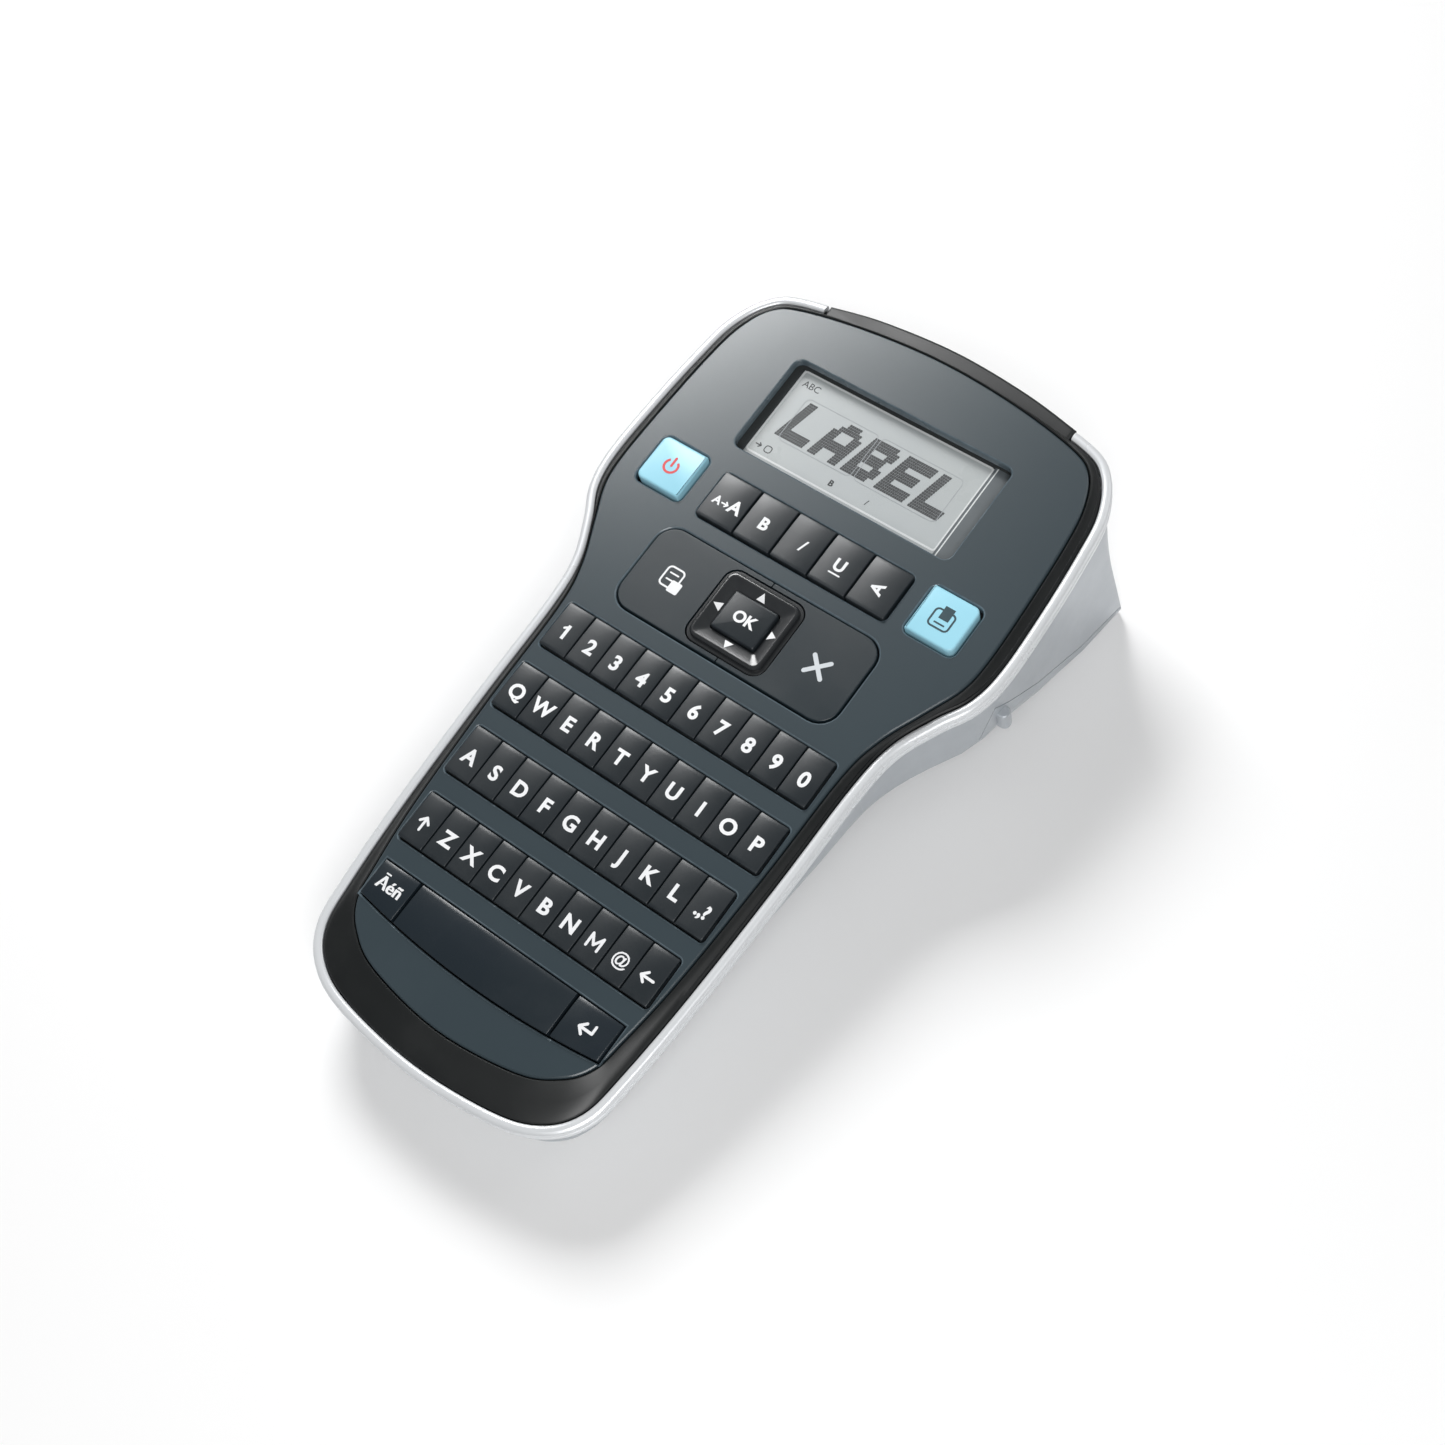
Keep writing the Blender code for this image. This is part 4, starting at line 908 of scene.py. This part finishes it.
def makeSpaceRow():
    ink = finish["legendInk"]
    z = keys["top"] + marks["lift"]
    top, side, _, _ = face["spaceRow"]
    left, right = face["spaceSplits"]
    seam = keys["spaceHalfSeam"]
    spans = (("accentKey", "accent_key", -side, left - seam),
             ("spaceBar", "space_bar", left + seam, right - seam),
             ("returnKey", "return_key", right + seam, side))
    for name, node, x0, x1 in spans:
        cap = slab(name, spaceOutline(x0, x1), keys["foot"], keys["top"])
        crownTop(cap, keys["top"], top - keys["spaceRowDepth"], top)
        roundEdges(cap, keys["edge"], 3, 40)
        smoothOver(cap, 50)
        paint(cap, finish["spaceRubber"])
        x = (x0 + x1) / 2
        if node == "accent_key":
            # thickened with copies set side by side, since grown strokes of this size cross
            copies = [writeOn("legend", "Āéñ", x + step * 0.11, keys["accentAt"],
                              z + marks["stack"] * step, 4.1, bold=0.008) for step in (-1, 0, 1)]
            printOn(cap, ink, *copies)
        if node == "return_key":
            y = keys["returnAt"]
            turned = arrowMark("legend", x - 0.2, y, z, 1.05, 180)
            hook = capsule("hook", x + 1.5, y, x + 1.5, y + 1.7, 0.62, z + 4 * marks["stack"])
            printOn(cap, ink, turned, hook)
        place(cap, node, "key_rubber", node)


def makeStyleKeys():
    ink = finish["legendInk"]
    z = keys["top"] + marks["lift"]
    x0, x1, y0, y1 = face["styleRow"]
    pitch = (x1 - x0) / 5
    y = y1 + (y0 - y1) * keys["styleLegendAt"]
    for i, node in enumerate(keys["styleNames"]):
        left = x0 + pitch * i + (keys["styleHalfSeam"] if i else 0)
        right = x0 + pitch * (i + 1) - (keys["styleHalfSeam"] if i < 4 else 0)
        cap = crownedCap("styleCap" + str(i + 1), left, right, y0, y1, keys["foot"])
        paint(cap, finish["keyRubber"])
        x = (left + right) / 2
        if node == "size_key":
            shapes = [writeOn("small", "A", x - 2.5, y - 0.3, z, 3.0),
                      arrowMark("to", x - 0.3, y - 0.3, z, 0.5, 0, 0.8),
                      writeOn("large", "A", x + 2.4, y, z, 4.6)]
        elif node == "bold_key":
            shapes = [writeOn("bold", "B", x, y, z, 4.2, bold=0.04)]
        elif node == "italic_key":
            shapes = [writeOn("italic", "I", x, y, z, 4.2, slant=0.35, bold=0.01)]
        elif node == "underline_key":
            shapes = [writeOn("under", "U", x, y + 0.25, z, 4.2),
                      capsule("line", x - 1.4, y - 2.0, x + 1.4, y - 2.0, 0.4, z)]
        else:
            shapes = [writeOn("turned", "A", x, y, z, 4.2, turn=90)]
        printOn(cap, ink, *shapes)
        place(cap, node, "key_rubber", node)


makeLetterKeys()
makeSpaceRow()
makeStyleKeys()
print("keys made")


# buttons
buttons = dict(
    top=1.3, foot=-4.9, ring=(-10.8, 10.8, 7.0, 27.0), ringCorner=3.2, rimHeight=1.35, dishFloor=0.25,
    okPad=(-6.0, 6.0, 12.0, 22.2), okTop=1.35, panelTop=0.2, slopeRun=3.0,
    panelHalfSeam=0.14, cutDepth=(-8.0, 4.0),
)


def softTopped(name, loop, foot, top, roundness):
    # side wall, then a quarter round to the flat top
    rings = [level(loop, foot)]
    for inward, upward in quarterRound(4):
        rings.append(level(widen(loop, -roundness * inward), top - roundness * (1 - upward)))
    piece = skin(name, rings)
    smoothOver(piece, 50)
    return piece


def powerIcon(x, y, z):
    outer, inner = 2.05, 1.45
    opening = 38
    arc = [math.radians(90 + opening + (360 - 2 * opening) * i / 28) for i in range(29)]
    loop = [Vector((x + outer * math.cos(a), y - 0.2 + outer * math.sin(a))) for a in arc]
    loop += [Vector((x + inner * math.cos(a), y - 0.2 + inner * math.sin(a))) for a in reversed(arc)]
    bar = capsule("powerBar", x, y - 0.1, x, y + 2.1, 0.6, z + marks["stack"])
    return joinUp(flatMark("powerArc", loop, z), bar)


def outlineMark(name, x0, x1, y0, y1, radius, width, z):
    loop = roundBox(x0, x1, y0, y1, radius, steps=4)
    top = z + marks["thickness"]
    return sweepProfile(name, loop, ((0, z), (width, z), (width, top), (0, top)))


def makeSideButtons():
    reach = face["sideButton"] / 2
    z = buttons["top"] + marks["lift"]
    for name, node, (x, y), corners in (("powerButton", "power_button", face["power"], "left"),
                                        ("printButton", "print_button", face["printer"], "right")):
        loop = boxAround(x, x, y, y, reach, 1.7, corners)
        cap = softTopped(name, loop, buttons["foot"], buttons["top"], 0.6)
        paint(cap, finish["cyanCap"])
        if node == "power_button":
            printOn(cap, finish["redInk"], powerIcon(x, y, z))
        else:
            # a label coming out of a printer, drawn with plain bars
            shapes = [outlineMark("case", x - 2.3, x + 2.3, y - 2.5, y + 1.5, 0.7, 0.45, z),
                      flatMark("label", [Vector(p) for p in ((x - 1.0, y - 0.4), (x + 1.5, y - 0.4),
                                                            (x + 1.5, y + 2.9), (x - 1.0, y + 2.9))],
                               z + 2 * marks["stack"]),
                      capsule("line", x - 1.2, y - 1.6, x + 1.2, y - 1.6, 0.4, z + marks["stack"])]
            printOn(cap, finish["tealInk"], *shapes)
        place(cap, node, "button_plastic", node)


def makePanelKeys():
    # they meet in a seam above and below the ring, and its round opening is cut from both
    x0, x1, y0, y1 = face["panel"]
    z = buttons["panelTop"] + marks["lift"]
    opening = widen(roundBox(*buttons["ring"], buttons["ringCorner"]), gap)
    seam, cutDepth = buttons["panelHalfSeam"], buttons["cutDepth"]
    left = softTopped("formatKey", roundBox(x0, x1, y0, y1, 5.0), buttons["foot"], buttons["panelTop"], 0.3)
    carve(left, slab("opening", opening, *cutDepth))
    right = twin(left, "cancelKey")
    for key, side in ((left, -1), (right, 1)):
        carve(key, addBlock("half", *sorted((side * seam, -side * 60.0)), y0 - 2, y1 + 2, *cutDepth))
        cleanShading(key, 40)
    paint(left, finish["panelKey"])
    x, y = -20.6, 16.6
    page = outlineMark("page", x - 2.4, x + 1.6, y - 1.6, y + 3.0, 0.8, 0.45, z)
    lines = [capsule("line", x - 1.5, y + row, x + 0.7, y + row, 0.4, z + marks["stack"])
             for row in (0.0, 1.7)]
    block = flatMark("block", roundBox(x + 0.1, x + 3.0, y - 2.6, y + 0.4, 0.4, steps=3), z + 0.005)
    printOn(left, finish["legendInk"], page, *lines, block)
    place(left, "format_menu_key", "key_rubber", "format_menu_key")

    paint(right, finish["panelKey"])
    x, y = 20.3, 16.6
    cross = [capsule("stroke", x - 2.2, y - 2.2 * way, x + 2.2, y + 2.2 * way, 1.05,
                     z + marks["stack"] * i) for i, way in enumerate((1, -1))]
    printOn(right, finish["paleLegend"], *cross)
    place(right, "cancel_key", "key_rubber", "cancel_key")


def makeRing():
    # a square dish: a raised rim that falls inwards to the centre pad
    rim, floor = buttons["rimHeight"], buttons["dishFloor"]
    shelf = roundBox(*buttons["ring"], buttons["ringCorner"])
    well = boxAround(*buttons["okPad"], gap, 0.7)
    outer = widen(shelf, -0.8)
    rings = [level(shelf, buttons["foot"]), level(shelf, -0.02), level(widen(shelf, -0.14), 0.12),
             level(widen(outer, 0.05), 0.14)]
    for inward, upward in quarterRound(4):
        rings.append(level(widen(outer, -0.75 * inward), 0.14 + (rim - 0.14) * upward))
    rings += [level(widen(outer, -1.1), rim - 0.05), level(well, floor), level(well, buttons["foot"])]
    ring = skin("navRing", rings, closed=True)
    smoothOver(ring, 28)
    paint(ring, finish["ringRubber"])
    shapes = []
    z = (rim + floor) / 2 + 0.10
    lean = math.atan2(rim - floor, buttons["slopeRun"])
    for x, y, turn, axis in ((7.7, 17.1, 0, (0, -1, 0)), (-7.7, 17.1, 180, (0, 1, 0)),
                             (0.1, 23.85, 90, (1, 0, 0)), (0.1, 10.1, -90, (-1, 0, 0))):
        # laid on the slope of the dish
        mark = triangleMark("way", x, y, 0, 2.1, turn)
        pickOnly(mark)
        spot = Matrix.Translation(Vector((x, y, 0)) * mm)
        mark.matrix_world = (Matrix.Translation(Vector((0, 0, z)) * mm) @ spot
                             @ Matrix.Rotation(lean, 4, Vector(axis)) @ spot.inverted())
        settle()
        shapes.append(mark)
    printOn(ring, finish["legendInk"], *shapes)
    place(ring, "nav_ring", "key_rubber", "nav_ring")

    pad = softTopped("okButton", roundBox(*buttons["okPad"], 0.6), buttons["foot"], buttons["okTop"], 0.45)
    paint(pad, finish["keyRubber"])
    printOn(pad, finish["legendInk"], writeOn("ok", "OK", 0.0, 17.0, buttons["okTop"] + marks["lift"], 3.9))
    place(pad, "ok_button", "key_rubber", "ok_button")


makeSideButtons()
makePanelKeys()
makeRing()
print("buttons made")


# display
display = dict(
    screen=(-28.8, 28.4, 53.5, 79.6, -5.2, -3.5), lit=(-28.2, 24.3, 55.3, 79.2), border=0.5,
    word="LABEL", dot=(0.575, 0.70), dotSize=0.95, wordAt=(-25.0, 61.6), lean=0.25, letterGap=2.4,
    strip=(24.75, 29.85, 53.1, 79.9, -3.49, -3.26), stripLine=(25.35, 25.65, 53.1, 79.9, -3.262, -3.24),
    ghostFields=((-23.5, -3.0, 61.0, 73.5), (-2.0, 20.5, 61.0, 73.5)),
)
dotFont = {  # heavy letters on a grid of 7 by 8 cells
    "L": ("1100000",) * 6 + ("1111111",) * 2,
    "A": ("0011100", "0111110", "1100011", "1100011", "1111111", "1111111", "1100011", "1100011"),
    "B": ("1111110", "1111111", "1100011", "1111110", "1111110", "1100011", "1111111", "1111110"),
    "E": ("1111111", "1111111", "1100000", "1111110", "1111110", "1100000", "1111111", "1111111"),
}


def dotWord(name, word, x, y, z):
    # every cell of a letter is drawn as 2 by 2 dots, and the letters lean to the right
    corners, faces = [], []
    wide, tall = display["dot"]
    across, high = wide * display["dotSize"], tall * display["dotSize"]
    for letter in word:
        for row, cells in enumerate(dotFont[letter]):
            for column, on in enumerate(cells):
                if on == "0":
                    continue
                for sub in range(4):
                    up = (7 - row) * 2 + sub // 2
                    cx = x + (column * 2 + sub % 2) * wide + up * tall * display["lean"]
                    cy = y + up * tall
                    start = len(corners)
                    corners += [Vector(p) * mm for p in ((cx, cy, z), (cx + across, cy, z),
                                                         (cx + across, cy + high, z), (cx, cy + high, z))]
                    faces.append((start, start + 1, start + 2, start + 3))
        x += (14 + display["letterGap"]) * wide
    return addMesh(name, corners, faces)


def makeDisplay():
    x0, x1, y0, y1, z0, z1 = display["screen"]
    screen = addBlock("lcdScreen", x0, x1, y0, y1, z0, z1)
    roundEdges(screen, 0.1, 2)
    paint(screen, finish["screenGlass"])
    left, right, low, high = display["lit"]
    border = outlineMark("border", left, right, low, high, 0.5, display["border"], z1 + 0.005)
    printOn(screen, finish["screenBorder"], border)
    z = z1 + 0.01
    printOn(screen, finish["screenInk"], dotWord("word", display["word"], *display["wordAt"], z),
            writeOn("mode", "ABC", -24.6, 76.4, z, 2.5, bold=0.0), writeOn("mark", "B", -5.6, 57.4, z, 2.2),
            writeOn("slant", "I", 4.2, 57.4, z, 2.2, slant=0.3, bold=0.0),
            outlineMark("frameMark", -24.4, -22.9, 56.6, 58.1, 0.5, 0.25, z),
            arrowMark("shiftMark", -26.4, 57.4, z, 0.45, 0, 0.7))
    ghosts = [outlineMark("field", *box, 1.2, 0.16, z1 + 0.004) for box in display["ghostFields"]]
    printOn(screen, finish["screenGhost"], *ghosts)
    place(screen, "housing", "display_glass", "lcd_panel")

    strip = addBlock("displayStrip", *display["strip"])
    paint(strip, finish["innerStrip"])
    line = addBlock("stripLine", *display["stripLine"])
    printOn(strip, finish["screenBorder"], line)
    place(strip, "housing", "trim_plastic")


makeDisplay()
print("display made")


# cutter bar and what the casing holds
cutter = dict(bar=(-33.6, 35.1), back=90.5, foot=-13.6, top=-2.65, rounding=0.9,
              outer=((35.1, 97.2), (20, 99.9), (0, 101.3), (-20, 99.9), (-33.6, 97.2)))


def makeCutterBar():
    (x0, x1), back, rounding = cutter["bar"], cutter["back"], cutter["rounding"]
    shoulder = cutter["top"] - rounding
    loop = [Vector((x0, back)), Vector((x1, back))] + spline(cutter["outer"], 8, closed=False)
    rings = [level(loop, cutter["foot"]), level(loop, shoulder)]
    for inward, upward in quarterRound(5)[1:]:
        inset = rounding * inward
        rings.append([(max(x0 + inset, min(x1 - inset, p.x)), p.y - inset if p.y > back else p.y,
                       shoulder + rounding * upward) for p in loop])
    bar = skin("cutterBar", rings)
    smoothOver(bar, 40)
    paint(bar, finish["blackTrim"])
    place(bar, "cutter_bar", "trim_plastic", "cutter_bar")


nodeFinish = {
    "display_window": "clearWindow", "lcd_frame": "blackTrim", "keypad_mat": "matRubber",
    "main_board": "boardGreen", "power_jack": "blackTrim", "battery_tray": "blackTrim",
    "contact_strip_upper": "springSteel", "contact_strip_lower": "springSteel",
    "mechanism_chassis": "chassisGrey", "motor": "springSteel", "cassette_shell": "cassetteShade",
    "label_tape": "labelFilm", "tape_roll": "labelFilm", "cutter_carriage": "chassisGrey",
    "cutter_blade": "springSteel", "platen_gear": "acetalGear", "platen_roller": "rollerRubber",
    "idler_gear": "acetalGear", "motor_pinion": "brassGear", "ribbon_spindle": "acetalGear",
    "ribbon_spool": "matRubber", "head_arm": "springSteel", "print_head": "headCeramic",
}
nodeFinish.update({f"battery_cell_{i}": "cellJacket" for i in range(1, 7)})
nodeFinish.update({f"case_screw_{i}": "springSteel" for i in range(1, 6)})


def dressPackedNodes():
    for name, look in nodeFinish.items():
        node = frame["nodes"][name]
        if not node.material_slots:
            node.data.materials.append(finish[look])
        for slot in node.material_slots:
            slot.material = finish[look]


makeCutterBar()
dressPackedNodes()
print("inner parts dressed")


# room, lights and camera
room = dict(floor=4.0, floorTone=(0.93, 0.93, 0.93), floorRough=0.6, sky=0.13, focal=2000.0,
            frameSize=1445, sensor=36.0)
# rows: camera right, down and forward on the face frame; then its place in mm
cameraRows = ((0.79004751, 0.58671036, -0.17775232), (0.48725745, -0.77692262, -0.3987122),
              (-0.37202838, 0.22839044, -0.89968478))
cameraSpot = (172.70, -105.03, 393.04)
softLights = (  # name, place on the face frame in mm, size mm, watts
    ("windowLight", (-520, 480, 560), 340, 6.5),
    ("frontLight", (460, -360, 740), 560, 6.0),
    ("headLight", (330, 640, 420), 360, 0.45),
)


def makeRoom():
    bpy.ops.object.select_all(action="DESELECT")
    bpy.ops.mesh.primitive_plane_add(size=room["floor"], location=(0, 0, 0))
    floor = bpy.context.object
    floor.name = "floor"
    pale = bpy.data.materials.new("paleFloor")
    pale.use_nodes = True
    shader = pale.node_tree.nodes["Principled BSDF"]
    shader.inputs["Base Color"].default_value = (*room["floorTone"], 1)
    shader.inputs["Roughness"].default_value = room["floorRough"]
    floor.data.materials.append(pale)
    sky = bpy.data.worlds.new("studio")
    sky.use_nodes = True
    sky.node_tree.nodes["Background"].inputs["Color"].default_value = (1, 1, 1, 1)
    sky.node_tree.nodes["Background"].inputs["Strength"].default_value = room["sky"]
    bpy.context.scene.world = sky
    middle = faceToTable @ (Vector((0, 0, -20)) * mm)
    for name, spot, size, watts in softLights:
        data = bpy.data.lights.new(name, "AREA")
        data.shape = "SQUARE"
        data.size = size * mm
        data.energy = watts
        lamp = bpy.data.objects.new(name, data)
        bpy.context.scene.collection.objects.link(lamp)
        lamp.location = faceToTable @ (Vector(spot) * mm)
        lamp.rotation_euler = (middle - lamp.location).to_track_quat("-Z", "Y").to_euler()


def makeCamera():
    data = bpy.data.cameras.new("camera")
    data.sensor_width = room["sensor"]
    data.lens = room["focal"] * room["sensor"] / room["frameSize"]
    data.clip_start, data.clip_end = 0.01, 20.0
    camera = bpy.data.objects.new("camera", data)
    bpy.context.scene.collection.objects.link(camera)
    right, down, ahead = (Vector(row) for row in cameraRows)
    turned = Matrix((right, -down, -ahead)).transposed().to_4x4()
    camera.matrix_world = faceToTable @ Matrix.Translation(Vector(cameraSpot) * mm) @ turned
    bpy.context.scene.camera = camera


makeRoom()
makeCamera()
bpy.context.scene.view_settings.view_transform = "Standard"
print("room made")
